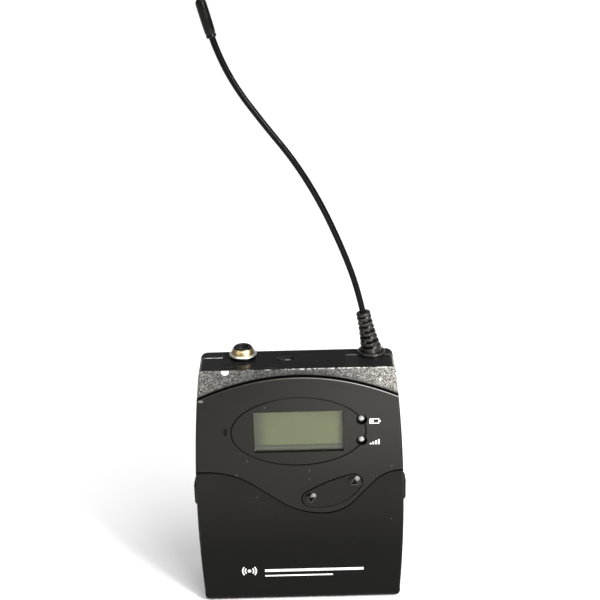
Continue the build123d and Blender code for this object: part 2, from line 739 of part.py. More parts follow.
def catch_retainer():
    """Bracket on the cover's inner wall that the catch's spring pushes against."""
    plate_x = catch_inner() - CATCH_TRAVEL - RETAINER_T - 0.5
    reach = CATCH_DEPTH / 2 + FLANGE_LIP + GAP
    z0 = CATCH_Z - CATCH_H / 2 + 0.4
    z1 = CATCH_Z + CATCH_H / 2 - 0.8
    bracket = box(plate_x, plate_x + RETAINER_T, CATCH_Y - reach - 0.7, CATCH_Y + reach + 0.7,
                  z0, z1)
    for side in (-1, 1):
        y = CATCH_Y + side * (reach + 0.35)
        bracket += box(plate_x, HALF_WIDTH, y - 0.35, y + 0.35, z0, z1)
    return bracket & case_form(WALL)


def catch_spring():
    """Bowed leaf spring between the bracket and the catch."""
    x0 = catch_inner() - CATCH_TRAVEL - 0.5
    x1 = catch_inner() - LEAF_T
    half = CATCH_H / 2 - 1.2
    with BuildSketch(Plane.XZ.offset(-CATCH_Y + 1.0)) as strip:
        with BuildLine():
            ThreePointArc((x0, CATCH_Z - half), (x1, CATCH_Z), (x0, CATCH_Z + half))
            Line((x0, CATCH_Z + half), (x0 + LEAF_T, CATCH_Z + half))
            ThreePointArc((x0 + LEAF_T, CATCH_Z + half), (x1 + LEAF_T, CATCH_Z),
                          (x0 + LEAF_T, CATCH_Z - half))
            Line((x0 + LEAF_T, CATCH_Z - half), (x0, CATCH_Z - half))
        make_face()
    return extrude(strip.sketch, amount=2.0)


# ---- cells ----
def battery_tray():
    """Cradle for two cells: a back, two ends and two saddles."""
    y0 = CELL_R + 0.15
    y1 = BACK - WALL
    z0 = WALL + 0.1
    z1 = FLOOR_Z - 0.15
    tray = box(-TRAY_HALF + 3, TRAY_HALF - 3, y0, y1, z0 + 3, z1)
    for side in (-1, 1):
        x = side * (TRAY_HALF - TRAY_WALL / 2)
        tray += box(x - TRAY_WALL / 2, x + TRAY_WALL / 2, -CELL_R + 2, y1, z0 + 2, z1)
        tray += box(min(x, side * (TRAY_HALF - 4)), max(x, side * (TRAY_HALF - 4)),
                    y0, y1, z0 + 3, z1)
        tray += box(side * 14 - 0.8, side * 14 + 0.8, 2.0, y1, z0 + 1, z1)
    for z in (CELL_Z1, CELL_Z2):
        tray -= rod_x(CELL_R + 0.15, -TRAY_HALF + TRAY_WALL, TRAY_HALF - TRAY_WALL, 0, z)
    return tray & case_form(WALL + 0.1)


def cell(z, plus):
    """AA cell along X, its plus end towards +X or -X."""
    tube = rod_x(CELL_R, -CELL_L / 2 + 0.1, CELL_L / 2 - 1.2, 0, z)
    rims = [edge for edge in tube.edges() if edge.geom_type == GeomType.CIRCLE]
    tube = fillet(rims, 0.5)
    tube += rod_x(2.75, CELL_L / 2 - 1.3, CELL_L / 2, 0, z)
    return tube if plus > 0 else mirror(tube, Plane.YZ)


def cell_plates():
    """Plus contacts, flat against the cells' buttons."""
    parts = []
    for side, z in ((1, CELL_Z1), (-1, CELL_Z2)):
        inner = side * CELL_L / 2
        outer = side * (TRAY_HALF - TRAY_WALL)
        button = box(min(inner, outer), max(inner, outer), -1.6, 1.6, z - 1.6, z + 1.6)
        face = side * (TRAY_HALF - TRAY_WALL - 0.2)
        plate = box(min(face, outer), max(face, outer), -4, 4, z - 4, z + 4)
        parts.append(button + plate)
    return Compound(children=parts)


def cell_springs():
    """Minus contacts: conical springs, as the thin sleeve that their turns fill."""
    parts = []
    for side, z in ((-1, CELL_Z1), (1, CELL_Z2)):
        inner = side * (CELL_L / 2 - 0.1)
        outer = side * (TRAY_HALF - TRAY_WALL)
        x0 = min(inner, outer)
        x1 = max(inner, outer)
        small, large = (3.2, 2.0) if side < 0 else (2.0, 3.2)
        cone = Pos((x0 + x1) / 2, 0, z) * Rot(0, 90, 0) * Cone(small, large, x1 - x0)
        core = Pos((x0 + x1) / 2, 0, z) * Rot(0, 90, 0) * Cone(small - 0.6, large - 0.6, x1 - x0)
        parts.append(cone - core)
    return Compound(children=parts)


# ---- top face ----
def top_plate():
    """Inset plate with holes for the socket and the mute slide."""
    plate = box(PLATE_LEFT, PLATE_RIGHT, PLATE_FRONT, PLATE_BACK, PLATE_TOP - PLATE_T, PLATE_TOP)
    plate = fillet(plate.edges().filter_by(Axis.Z), PLATE_CORNER)
    plate -= rod_z(SLEEVE_R + 0.1, JACK_X, JACK_Y, HEIGHT - 2, HEIGHT + 1)
    return plate - mute_slot(HEIGHT - 2, HEIGHT + 1)


def jack_body():
    """Moulded body of the microphone socket, with its blind bore."""
    top = HEIGHT - WALL - 0.1
    body = rod_z(JACK_BODY_R, JACK_X, JACK_Y, HEIGHT - SOCKET_BOARD_DROP + SOCKET_BOARD_T,
                 top - NUT_T)
    body += rod_z(SLEEVE_R - 0.7, JACK_X, JACK_Y, top - NUT_T - 0.5, JACK_TOP - 0.5)
    return body - rod_z(JACK_BORE_R, JACK_X, JACK_Y, JACK_TOP - JACK_BORE_DEPTH, JACK_TOP + 1)


def jack_collar():
    """Gilt sleeve with a flange that seats on the top plate."""
    top = HEIGHT - WALL - 0.1
    collar = rod_z(SLEEVE_R, JACK_X, JACK_Y, top - NUT_T, JACK_TOP)
    rim = [edge for edge in collar.edges() if abs(edge.center().Z - JACK_TOP) < 0.01]
    collar = chamfer([edge for edge in rim if edge.geom_type == GeomType.CIRCLE], 0.35)
    collar += rod_z(COLLAR_R, JACK_X, JACK_Y, PLATE_TOP, PLATE_TOP + COLLAR_T)
    collar -= rod_z(SLEEVE_R - 0.7, JACK_X, JACK_Y, HEIGHT - 10, JACK_TOP - 0.5)
    return collar - rod_z(JACK_BORE_R, JACK_X, JACK_Y, JACK_TOP - 1, JACK_TOP + 1)


def jack_nut():
    """Hexagonal nut under the top wall."""
    top = HEIGHT - WALL - 0.1
    nut = extrude(Pos(JACK_X, JACK_Y, top - NUT_T) * RegularPolygon(NUT_R, 6), amount=NUT_T)
    return nut - rod_z(SLEEVE_R, JACK_X, JACK_Y, top - NUT_T - 1, top + 1)


def mute_switch():
    """Body of the slide switch under the top wall."""
    top = HEIGHT - WALL - 0.6
    low = HEIGHT - SOCKET_BOARD_DROP + SOCKET_BOARD_T
    middle = MUTE_X + MUTE_TRAVEL / 2
    body = box(middle - 4.2, middle + 4.2, MUTE_Y - 2.4, MUTE_Y + 2.4, top - 4.0, top)
    body += box(middle - 3.0, middle + 3.0, MUTE_Y - 1.0, MUTE_Y + 1.0, low, top - 3.5)
    room = box(middle - 3.2, middle + 3.2, MUTE_Y - 1.6, MUTE_Y + 1.6, top - 1.6, top + 1)
    return body - room


def mute_knob():
    """Round slide knob with a foot inside the switch."""
    top = HEIGHT - WALL - 0.6
    knob = rod_z(MUTE_R, MUTE_X, MUTE_Y, top - 0.6, HEIGHT + MUTE_PROUD)
    rim = [edge for edge in knob.edges() if abs(edge.center().Z - HEIGHT - MUTE_PROUD) < 0.01]
    knob = fillet(rim, 0.3)
    return knob + box(MUTE_X - 1.5, MUTE_X + 1.5, MUTE_Y - 1.3, MUTE_Y + 1.3, top - 1.3, top - 0.4)


def socket_board():
    """Small board that carries the socket and the mute switch."""
    low = HEIGHT - SOCKET_BOARD_DROP
    return box(JACK_X - JACK_BODY_R, MUTE_X + MUTE_TRAVEL / 2 + 4.2, BOARD_BACK + 2.2, JACK_Y + 4.0,
               low, low + SOCKET_BOARD_T)


# ---- antenna ----
def lean_rod(radius, start, end):
    """A round bar on the boot's leaning axis, between two distances from its foot."""
    bar = Pos(0, 0, (start + end) / 2) * Cylinder(radius, end - start)
    return Pos(MAST_X, MAST_Y, BOOT_BASE_Z) * Rot(0, -BOOT_LEAN, 0) * bar


def antenna_flange():
    """Ring round the boot's foot, with a neck through the top wall."""
    ring = rod_z(FLANGE_R, MAST_X, MAST_Y, HEIGHT, BOOT_BASE_Z)
    rim = [edge for edge in ring.edges() if abs(edge.center().Z - BOOT_BASE_Z) < 0.01]
    ring = fillet([edge for edge in rim if edge.geom_type == GeomType.CIRCLE], 0.5)
    ring += rod_z(BOOT_NECK_R, MAST_X, MAST_Y, HEIGHT - WALL, HEIGHT + 0.1)
    return ring - rod_z(FERRULE_R, MAST_X, MAST_Y, HEIGHT - 10, BOOT_BASE_Z + 1)


def antenna_boot():
    """Tapered, ribbed rubber boot that leans to the left."""
    cone = Pos(0, 0, BOOT_L / 2) * Cone(BOOT_FOOT_R, BOOT_TOP_R, BOOT_L)
    for rib in range(RIBS):
        along = (rib + 0.6) * BOOT_L / (RIBS + 0.2)
        radius = BOOT_FOOT_R + (BOOT_TOP_R - BOOT_FOOT_R) * along / BOOT_L + RIB_PROUD
        cone += Pos(0, 0, along) * Cylinder(radius, RIB_T)
    boot = Pos(MAST_X, MAST_Y, BOOT_BASE_Z) * Rot(0, -BOOT_LEAN, 0) * cone
    boot &= box(-60, 60, -60, 60, BOOT_BASE_Z, BOOT_BASE_Z + 40)
    boot -= rod_z(FERRULE_R, MAST_X, MAST_Y, HEIGHT, BOOT_BASE_Z + FERRULE_UP)
    return boot - lean_rod(WHIP_R, BOOT_L - WHIP_IN, BOOT_L + 1)


def antenna_ferrule():
    """Brass sleeve that carries the whip through the top wall."""
    return rod_z(FERRULE_R, MAST_X, MAST_Y, HEIGHT - FERRULE_DOWN, BOOT_BASE_Z + FERRULE_UP)


def antenna_contact():
    """Spring strip from the board to the foot of the ferrule."""
    low = HEIGHT - FERRULE_DOWN - 0.5
    return box(MAST_X - 2.6, MAST_X + 0.4, BOARD_BACK, MAST_Y + 1.2, low, low + 0.5)


def whip_route():
    """Corner points of the whip, from inside the boot to the end of its cap: X and Z."""
    points = []
    for along in (BOOT_L - WHIP_IN, BOOT_L + WHIP_IN):
        points.append((MAST_X - along * math.sin(LEAN), BOOT_BASE_Z + along * math.cos(LEAN)))
    return points + [(BOOT_TOP_X + x, BOOT_TOP_Z + z) for x, z in WHIP_POINTS]


def whip_radii(points):
    """As large an arc at each corner as its two runs allow."""
    radii = []
    for before, here, after in zip(points, points[1:], points[2:]):
        first = Vector(here[0] - before[0], here[1] - before[1])
        second = Vector(after[0] - here[0], after[1] - here[1])
        half_turn = math.radians(first.get_angle(second)) / 2
        radii.append(0.45 * min(first.length, second.length) / math.tan(half_turn))
    return radii


def along_last_run(back):
    """Point on the whip's last run, a distance back from its end: X and Z."""
    last, end = whip_route()[-2:]
    share = back / math.dist(last, end)
    return end[0] + (last[0] - end[0]) * share, end[1] + (last[1] - end[1]) * share


def antenna_whip():
    """Rubber-coated spring wire, from inside the boot into the cap."""
    points = whip_route()
    points[-1] = along_last_run(TIP_L - WHIP_IN)
    with BuildLine(Plane.XZ.offset(-MAST_Y)) as route:
        FilletPolyline(*points, radius=whip_radii(points))
    path = route.wire()
    section = Plane(origin=path @ 0, z_dir=path % 0) * Circle(WHIP_R)
    whip = sweep(section, path=path)
    print("whip", round(path.length, 1), "mm, volume against section times length",
          round(whip.volume / (math.pi * WHIP_R ** 2 * path.length), 4))
    return whip


def antenna_tip():
    """Round-ended cap on the end of the whip."""
    low = along_last_run(TIP_L)
    high = along_last_run(0)
    aim = Plane(origin=(low[0], MAST_Y, low[1]), z_dir=(high[0] - low[0], 0, high[1] - low[1]))
    cap = Pos(0, 0, TIP_L / 2) * Cylinder(TIP_R, TIP_L)
    ends = cap.edges().filter_by(GeomType.CIRCLE).sort_by(Axis.Z)
    cap = fillet(ends[-1:], TIP_R * 0.9)
    cap = fillet(cap.edges().filter_by(GeomType.CIRCLE).sort_by(Axis.Z)[:1], TIP_R * 0.25)
    cap -= Pos(0, 0, WHIP_IN / 2) * Cylinder(WHIP_R, WHIP_IN)
    return aim * cap


# ---- belt clip, screws and label ----
def belt_clip():
    """Spring steel clip: an arm in each side, a back plate, a blade and a turned-in lip."""
    outer = Pos(0, (CLIP_Y - 2.8 + CLIP_PLATE_Y + CLIP_T) / 2)
    outer *= Rectangle(2 * CLIP_OUT, CLIP_PLATE_Y + CLIP_T - CLIP_Y + 2.8)
    outer = fillet(outer.vertices().sort_by(Axis.Y)[-2:], 2.0)
    inner = Pos(0, (CLIP_Y - 6 + CLIP_PLATE_Y) / 2)
    inner *= Rectangle(2 * (CLIP_OUT - CLIP_T), CLIP_PLATE_Y - CLIP_Y + 6)
    inner = fillet(inner.vertices().sort_by(Axis.Y)[-2:], 2.0 - CLIP_T)
    strap = extrude(Pos(0, 0, CLIP_Z - CLIP_ARM_H / 2) * (outer - inner), amount=CLIP_ARM_H)
    shoulder = CLIP_Z - CLIP_ARM_H / 2
    wide = CLIP_OUT - 5
    flare = Polygon((-wide, shoulder + 1), (-CLIP_HALF_BLADE, shoulder - 7),
                    (-CLIP_HALF_BLADE, CLIP_LOW), (CLIP_HALF_BLADE, CLIP_LOW),
                    (CLIP_HALF_BLADE, shoulder - 7), (wide, shoulder + 1), align=None)
    flare = fillet(flare.vertices().sort_by(Axis.Y)[:2], 3.0)
    clip = strap + through(flare, CLIP_PLATE_Y, CLIP_PLATE_Y + CLIP_T)
    lip = box(-CLIP_HALF_BLADE + 3, CLIP_HALF_BLADE - 3, BACK + 0.5, CLIP_PLATE_Y + CLIP_T,
              CLIP_LOW, CLIP_LOW + CLIP_T)
    clip += lip
    for side in (-1, 1):
        root = CLIP_OUT - CLIP_T / 2
        tip = CLIP_OUT - CLIP_T - CLIP_PIN_L
        clip += rod_x(CLIP_PIN_R, min(side * root, side * tip), max(side * root, side * tip),
                      CLIP_Y, CLIP_Z)
    return clip


def case_screws():
    """Four screws from the back, with their heads sunk in the shell."""
    parts = []
    for x, z in screw_places():
        face = BACK - SCREW_SINK
        head = rod_y(SCREW_HEAD_R, x, face - SCREW_HEAD_T, face, z)
        slot = box(x - 1.1, x + 1.1, face - 0.7, face + 1, z - 0.22, z + 0.22)
        slot += box(x - 0.22, x + 0.22, face - 0.7, face + 1, z - 1.1, z + 1.1)
        parts.append(head - slot + rod_y(SCREW_R, x, BOARD_Y, face - SCREW_HEAD_T, z))
    return Compound(children=parts)


def type_label():
    """Blank rating label on the back."""
    return box(-19, 19, BACK, BACK + LABEL_T, CLIP_LOW + 4, CLIP_LOW + 22)


def left(piece):
    """Mirror image of a right-hand piece."""
    return mirror(piece, Plane.YZ)


PARTS = {
    "rear_shell": rear_shell(),
    "front_frame": front_frame(),
    "front_panel": front_panel(),
    "display_window": display_window(),
    "lcd_glass": lcd_glass(),
    "lcd_backlight": lcd_backlight(),
    "contact_strips": contact_strips(),
    "main_board": main_board(),
    "board_components": board_components(),
    "rf_shield": rf_shield(),
    "tact_switches": tact_switches(),
    "led_upper": led(led_places()[0]),
    "led_lower": led(led_places()[1]),
    "rocker_key": rocker_key(),
    "rocker_pivot": rocker_pivot(),
    "power_button": push_button(POWER_X, POWER_Z),
    "set_button": push_button(SET_X, SET_Z),
    "battery_cover": battery_cover(),
    "hinge_pin": hinge_pin(),
    "catch_right": catch(),
    "catch_left": left(catch()),
    "catch_retainer_right": catch_retainer(),
    "catch_retainer_left": left(catch_retainer()),
    "catch_spring_right": catch_spring(),
    "catch_spring_left": left(catch_spring()),
    "battery_tray": battery_tray(),
    "battery_lower": cell(CELL_Z1, 1),
    "battery_upper": cell(CELL_Z2, -1),
    "cell_plates": cell_plates(),
    "cell_springs": cell_springs(),
    "top_plate": top_plate(),
    "jack_body": jack_body(),
    "jack_collar": jack_collar(),
    "jack_nut": jack_nut(),
    "mute_switch": mute_switch(),
    "mute_knob": mute_knob(),
    "socket_board": socket_board(),
    "antenna_flange": antenna_flange(),
    "antenna_boot": antenna_boot(),
    "antenna_ferrule": antenna_ferrule(),
    "antenna_contact": antenna_contact(),
    "antenna_whip": antenna_whip(),
    "antenna_tip": antenna_tip(),
    "belt_clip": belt_clip(),
    "case_screws": case_screws(),
    "type_label": type_label(),
}

os.makedirs("parts", exist_ok=True)
for name, piece in PARTS.items():
    export_step(piece, f"parts/{name}.step")
print(len(PARTS), "nodes written")
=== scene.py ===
# %% [markdown]
# # A wireless bodypack transmitter
#
# The object is a belt-worn radio transmitter: a flat plastic case with a display, a fold-down
# battery cover, a gilt microphone socket and a curved whip antenna. Its solids come from CAD as
# a fixed frame. Here they get their finishes, and the pieces whose charm lies in fine relief,
# such as the ribbed antenna boot, are built again as detailed surfaces in the same places.

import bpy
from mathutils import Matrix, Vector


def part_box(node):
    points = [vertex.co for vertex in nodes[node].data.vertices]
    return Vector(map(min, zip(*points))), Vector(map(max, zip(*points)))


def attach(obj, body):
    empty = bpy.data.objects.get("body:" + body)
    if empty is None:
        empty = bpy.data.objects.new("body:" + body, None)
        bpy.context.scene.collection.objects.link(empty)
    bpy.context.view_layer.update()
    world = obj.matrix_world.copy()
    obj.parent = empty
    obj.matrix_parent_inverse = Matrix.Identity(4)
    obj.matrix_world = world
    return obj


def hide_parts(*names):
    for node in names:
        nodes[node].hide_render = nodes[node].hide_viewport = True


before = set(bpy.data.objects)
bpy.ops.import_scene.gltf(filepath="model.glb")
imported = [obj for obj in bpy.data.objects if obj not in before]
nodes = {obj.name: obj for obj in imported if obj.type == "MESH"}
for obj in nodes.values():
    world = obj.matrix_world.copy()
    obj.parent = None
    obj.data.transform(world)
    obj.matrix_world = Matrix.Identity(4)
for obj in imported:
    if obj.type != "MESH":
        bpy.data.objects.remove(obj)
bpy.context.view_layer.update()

# %% Units and helpers for places
import math

import bmesh
import bpy
import numpy as np
from mathutils import Matrix, Vector

MM = 0.001


def middle(node):
    """Centre of a CAD node's box: half of its lowest and highest corners' sum."""
    low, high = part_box(node)
    return (low + high) / 2


case_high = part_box("rear_shell")[1]
panel_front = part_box("front_panel")[0].y
print("panel face at y =", round(1000 * panel_front, 2), "mm")

# %% [markdown]
# ## Camera
#
# The pack is seen from straight ahead and a little above, close enough that its top face shows.
# A long lens keeps the sides nearly parallel. Aiming is easiest with a look-at rotation from the
# viewing direction, and a small turn about that direction levels the case as it is seen.

# %% Camera
CAMERA_PLACE = Vector((1.4, -324.3, 228.7)) * MM
CAMERA_TARGET = Vector((1.4, 0.0, 97.1)) * MM
CAMERA_ROLL = math.radians(-1.42)
LENS_MM = 72.3

camera = bpy.data.objects.new("camera", bpy.data.cameras.new("camera"))
bpy.context.scene.collection.objects.link(camera)
aim = (CAMERA_TARGET - CAMERA_PLACE).to_track_quat("-Z", "Y").to_matrix().to_4x4()
camera.matrix_world = Matrix.Translation(CAMERA_PLACE) @ aim @ Matrix.Rotation(CAMERA_ROLL, 4, "Z")
camera.data.lens = LENS_MM
camera.data.sensor_width = 36.0
camera.data.clip_start = 0.02
bpy.context.scene.camera = camera
bpy.context.scene.view_settings.view_transform = "Standard"
print("camera", round((CAMERA_TARGET - CAMERA_PLACE).length, 3), "m from its target")

# %% [markdown]
# ## Shader arithmetic
#
# A procedural finish is a sum of masks: grain, dust, worn edges. Wiring each sum by hand with
# Math nodes is slow to read, so one small class wraps a shader socket and turns ordinary
# Python arithmetic into Math nodes. A second class holds one material and adds every other kind
# of node through a single method: its settings first, then the values or links of its sockets.


# %% Arithmetic on shader sockets
class Value:
    """A shader socket in a finish. a + b adds a Math node set to ADD, and so on."""

    def __init__(self, finish, socket):
        self.finish = finish
        self.socket = socket

    def __add__(self, other):
        return self.finish.math("ADD", self, other)

    def __sub__(self, other):
        return self.finish.math("SUBTRACT", self, other)

    def __rsub__(self, other):
        return self.finish.math("SUBTRACT", other, self)

    def __mul__(self, other):
        return self.finish.math("MULTIPLY", self, other)

    def __truediv__(self, other):
        return self.finish.math("DIVIDE", self, other)

    def __pow__(self, other):
        return self.finish.math("POWER", self, other)

    def __abs__(self):
        return self.finish.math("ABSOLUTE", self)

    __radd__ = __add__
    __rmul__ = __mul__

    def rise(self, low, high):
        """0 below low, 1 above high, and a smooth step between; swapped limits fall instead."""
        if low > high:
            return 1 - self.rise(high, low)
        limits = {"Value": self, "From Min": low, "From Max": high}
        return self.finish.node("ShaderNodeMapRange", {"interpolation_type": "SMOOTHSTEP"}, limits)

    def band(self, centre, half, soft):
        """1 within half of the centre, falling to 0 over the soft width beyond."""
        return abs(self - centre).rise(half + soft, half)


# %% One material and its nodes
class Finish:
    """A material being made. Constants go on the shader's own sockets, variation is linked."""

    def __init__(self, name, colour, **constants):
        self.material = bpy.data.materials.new(name)
        self.material.use_nodes = True
        self.tree = self.material.node_tree
        self.shader = self.tree.nodes["Principled BSDF"]
        self.shader.inputs["Base Color"].default_value = (*colour, 1.0)
        for key, value in constants.items():
            self.shader.inputs[key.replace("_", " ").title().replace("Ior", "IOR")].default_value = value
        self.place = self.node("ShaderNodeTexCoord", output="Object")
        axes = self.tree.nodes.new("ShaderNodeSeparateXYZ")
        self.tree.links.new(self.place.socket, axes.inputs[0])
        self.x, self.y, self.z = (Value(self, axes.outputs[axis]) for axis in "XYZ")

    def node(self, kind, settings=None, sockets=None, output=0):
        """Adds a node: its settings first, then a value or a link for each named socket."""
        made = self.tree.nodes.new(kind)
        for key, value in (settings or {}).items():
            setattr(made, key, value)
        for key, value in (sockets or {}).items():
            if isinstance(value, Value):
                self.tree.links.new(value.socket, made.inputs[key])
            else:
                made.inputs[key].default_value = value
        return Value(self, made.outputs[output])

    def math(self, operation, *terms):
        return self.node("ShaderNodeMath", {"operation": operation}, dict(enumerate(terms)))

    def highest(self, *terms):
        """The largest of several masks."""
        top = terms[0]
        for term in terms[1:]:
            top = self.math("MAXIMUM", top, term)
        return top

    def mix(self, mask, low, high):
        """Colour low where the mask is 0 and high where it is 1."""
        ends = [end if isinstance(end, Value) else (*end, 1.0) for end in (low, high)]
        sockets = {0: mask, 6: ends[0], 7: ends[1]}
        return self.node("ShaderNodeMix", {"data_type": "RGBA"}, sockets, output=2)

    def noise(self, size, detail=2.0, rough=0.5, vector=None):
        """Soft noise from 0 to 1 whose blotches are about that size, in metres."""
        sockets = {"Vector": vector or self.place, "Scale": 1 / size, "Detail": detail,
                   "Roughness": rough}
        return self.node("ShaderNodeTexNoise", None, sockets)

    def cells(self, size, output="Distance"):
        """Random cells of about that size: distance to each cell's middle, or its colour."""
        return self.node("ShaderNodeTexVoronoi", None, {"Vector": self.place, "Scale": 1 / size},
                         output=output)

    def stretched(self, x, y, z):
        """Object coordinates with each axis scaled, so that a pattern is drawn out along one."""
        return self.node("ShaderNodeMapping", None, {"Vector": self.place, "Scale": (x, y, z)})

    def rounded(self, radius):
        """Normals that bend round every edge within a radius, as a moulded edge does."""
        return self.node("ShaderNodeBevel", {"samples": 4}, {"Radius": radius}, output="Normal")

    def edges(self, radius, low=0.02, high=0.2):
        """1 along edges: where the rounded normal turns away from the surface's own."""
        own = self.node("ShaderNodeNewGeometry", output="Normal")
        sockets = {0: self.rounded(radius), 1: own}
        together = self.node("ShaderNodeVectorMath", {"operation": "DOT_PRODUCT"}, sockets, output="Value")
        return (1 - together).rise(low, high)

    def crevice_shade(self, reach):
        """1 in slots and gaps: where surfaces within reach shut out the light."""
        open_sky = self.node("ShaderNodeAmbientOcclusion", {"samples": 6}, {"Distance": reach},
                             output="AO")
        return open_sky.rise(0.85, 0.45)

    def bump(self, height, distance, normal=None):
        """Relief: a height from 0 to 1 times a distance in metres, over given normals."""
        sockets = {"Height": height, "Distance": distance}
        if normal is not None:
            sockets["Normal"] = normal
        return self.node("ShaderNodeBump", None, sockets)

    def set(self, **links):
        """Links values to the shader's sockets and gives the finished material back."""
        for key, value in links.items():
            self.tree.links.new(value.socket, self.shader.inputs[key.replace("_", " ").title()])
        return self.material


print("shader helpers ready")

# %% [markdown]
# ## Floor and light
#
# The pack stands on a white sheet that runs far behind it, so no horizon shows. One broad sun from the
# upper right makes the soft shadow on the left, a second one overhead and a dim sky fill it, and soft
# boxes draw the highlights: on black plastic nearly all that one sees is reflected light. The one low on
# the right draws highlights on the rounded edges and on the arrow domes, which also carry a painted
# highlight.

# %% Floor
FLOOR_HALF = 6.0
floor_mesh = bpy.data.meshes.new("floor")
corners = [(-FLOOR_HALF, -FLOOR_HALF, 0), (FLOOR_HALF, -FLOOR_HALF, 0),
           (FLOOR_HALF, FLOOR_HALF, 0), (-FLOOR_HALF, FLOOR_HALF, 0)]
floor_mesh.from_pydata(corners, [], [(0, 1, 2, 3)])
floor = bpy.data.objects.new("floor", floor_mesh)
bpy.context.scene.collection.objects.link(floor)
paper = Finish("white_paper", (0.9, 0.9, 0.9), roughness=0.9, specular_ior_level=0.1)
floor_mesh.materials.append(paper.set(Normal=paper.bump(paper.noise(0.002), 0.00001)))

# %% Sky, sun and soft boxes
SKY_STRENGTH = 0.22
world = bpy.data.worlds.new("sky")
bpy.context.scene.world = world
world.use_nodes = True
tree = world.node_tree
sky = tree.nodes["Background"]
sky.inputs["Color"].default_value = (1.0, 1.0, 1.0, 1.0)
sky.inputs["Strength"].default_value = SKY_STRENGTH
backdrop = tree.nodes.new("ShaderNodeBackground")
seen = tree.nodes.new("ShaderNodeLightPath")
either = tree.nodes.new("ShaderNodeMixShader")
tree.links.new(seen.outputs["Is Camera Ray"], either.inputs[0])
tree.links.new(sky.outputs[0], either.inputs[1])
tree.links.new(backdrop.outputs[0], either.inputs[2])
tree.links.new(either.outputs[0], tree.nodes["World Output"].inputs[0])


def lamp(name, kind, place, power, size, target=(0, 0, 60 * MM)):
    """A light at a place, in metres, turned to face a target."""
    light = bpy.data.lights.new(name, kind)
    light.energy = power
    if kind == "SUN":
        light.angle = size
    else:
        light.size = size
    made = bpy.data.objects.new(name, light)
    bpy.context.scene.collection.objects.link(made)
    made.location = place
    made.rotation_euler = (Vector(target) - Vector(place)).to_track_quat("-Z", "Y").to_euler()
    made.visible_camera = False
    return made


lamp("sun", "SUN", (0.55, -0.45, 0.72), 2.1, math.radians(50))
lamp("ceiling", "SUN", (-0.05, -0.20, 0.95), 1.6, math.radians(60))
lamp("right_box", "AREA", (0.30, -0.34, 0.32), 2.6, 0.11)
lamp("left_box", "AREA", (-0.45, -0.35, 0.40), 0.4, 0.20)
lamp("low_box", "AREA", (0.183, -0.415, 0.068), 0.35, 0.07, (12 * MM, -10 * MM, 42 * MM))
print("two suns, three soft boxes")

# %% [markdown]
# ## Moulded plastic
#
# Most of the pack is one family: dark moulded plastic with a fine spark-eroded grain, edges polished by
# handling, a little dust, some faint scuffs and painted shade that turns its slots and gaps nearly black.
# One function makes them all, and each piece passes its own colour, grain and wear. Dust is a sparse pick
# of Voronoi cells.


# %% Plastic family
def dust(finish, spacing, share, size=0.08):
    """Sparse light specks: the middles of a share of the random cells, size in cells. A cell's
    random red picks it, and its random green sets how bright its speck is."""
    colour = finish.cells(spacing, "Color")
    pick = finish.node("ShaderNodeSeparateColor", None, {0: colour})
    glow = finish.node("ShaderNodeSeparateColor", None, {0: colour}, output="Green")
    spot = finish.cells(spacing).rise(size, size * 0.3)
    return spot * pick.rise(1 - share, 1 - share + 0.01) * (glow * 0.8 + 0.2)


def plastic(name, colour, roughness, grain=0.00022, depth=0.00002, wear=0.25, dusty=0.08,
            edge=0.00025, specular=0.30, marks=None):
    """Dark moulded plastic: grain as relief, blotchy sheen, worn edges, dust and painted shade in its
    crevices. Marks is a function that lays a piece's own marks over the common tone."""
    made = Finish(name, colour, specular_ior_level=specular)
    clouds = made.noise(0.018, 3)
    fine = made.noise(grain, 2)
    scuffs = made.noise(0.0012, 4, 0.7, made.stretched(0.12, 1, 1)).rise(0.60, 0.72)
    broken = made.noise(0.0011, 3).rise(0.42, 0.62)
    worn = made.edges(edge) * broken * wear
    specks = dust(made, 0.0031, dusty)
    dark = tuple(0.78 * c for c in colour)
    light = tuple(1.22 * c for c in colour)
    tone = made.mix(clouds, dark, light)
    tone = made.mix(scuffs * 0.10, tone, tuple(min(1.0, 3.2 * c) for c in colour))
    tone = made.mix(worn, tone, (0.30, 0.29, 0.27))
    # Painted shade: slots and gaps go nearly black.
    tone = made.mix(made.crevice_shade(0.0008), tone, (0.001, 0.001, 0.001))
    tone = made.mix(specks * 0.7, tone, (0.32, 0.31, 0.29))
    if marks is not None:
        tone = marks(made, tone)
    matt = clouds * 0.12 - scuffs * 0.06 + (roughness - 0.06)
    relief = made.bump(fine, depth, made.rounded(edge))
    return made.set(Base_Color=tone, Roughness=matt, Normal=relief)


def dress(material, *names):
    """Puts one material in every slot of the named CAD nodes."""
    for name in names:
        mesh = nodes[name].data
        for index in range(len(mesh.materials)):
            mesh.materials[index] = material
        if not mesh.materials:
            mesh.materials.append(material)


key_plastic = plastic("key_plastic", (0.0065, 0.0062, 0.0052), 0.27, grain=0.0003, specular=0.16)
dress(key_plastic, "rocker_key", "power_button", "set_button")
dress(plastic("catch_plastic", (0.008, 0.008, 0.008), 0.45, specular=0.1), "catch_left",
      "catch_right")
dress(plastic("inner_plastic", (0.020, 0.020, 0.020), 0.50, wear=0.1), "battery_tray",
      "catch_retainer_left", "catch_retainer_right", "jack_body", "mute_switch")
print("plastic family dressed")

# %% [markdown]
# ## Panel and cover
#
# The two big fronts add marks of their own. Painted shade turns every seam, the rims of the edges and the
# fine oval groove round the display nearly black, and the panel's arched upper edge gets a thin painted
# highlight that brightens to the right. The panel is painted lighter towards its upper right and the cover
# darker towards its foot, as painted light and shade. Each mark is a mask on Object coordinates: a
# distance from the arch's centre, the oval's own equation, or the direction that a face points in.

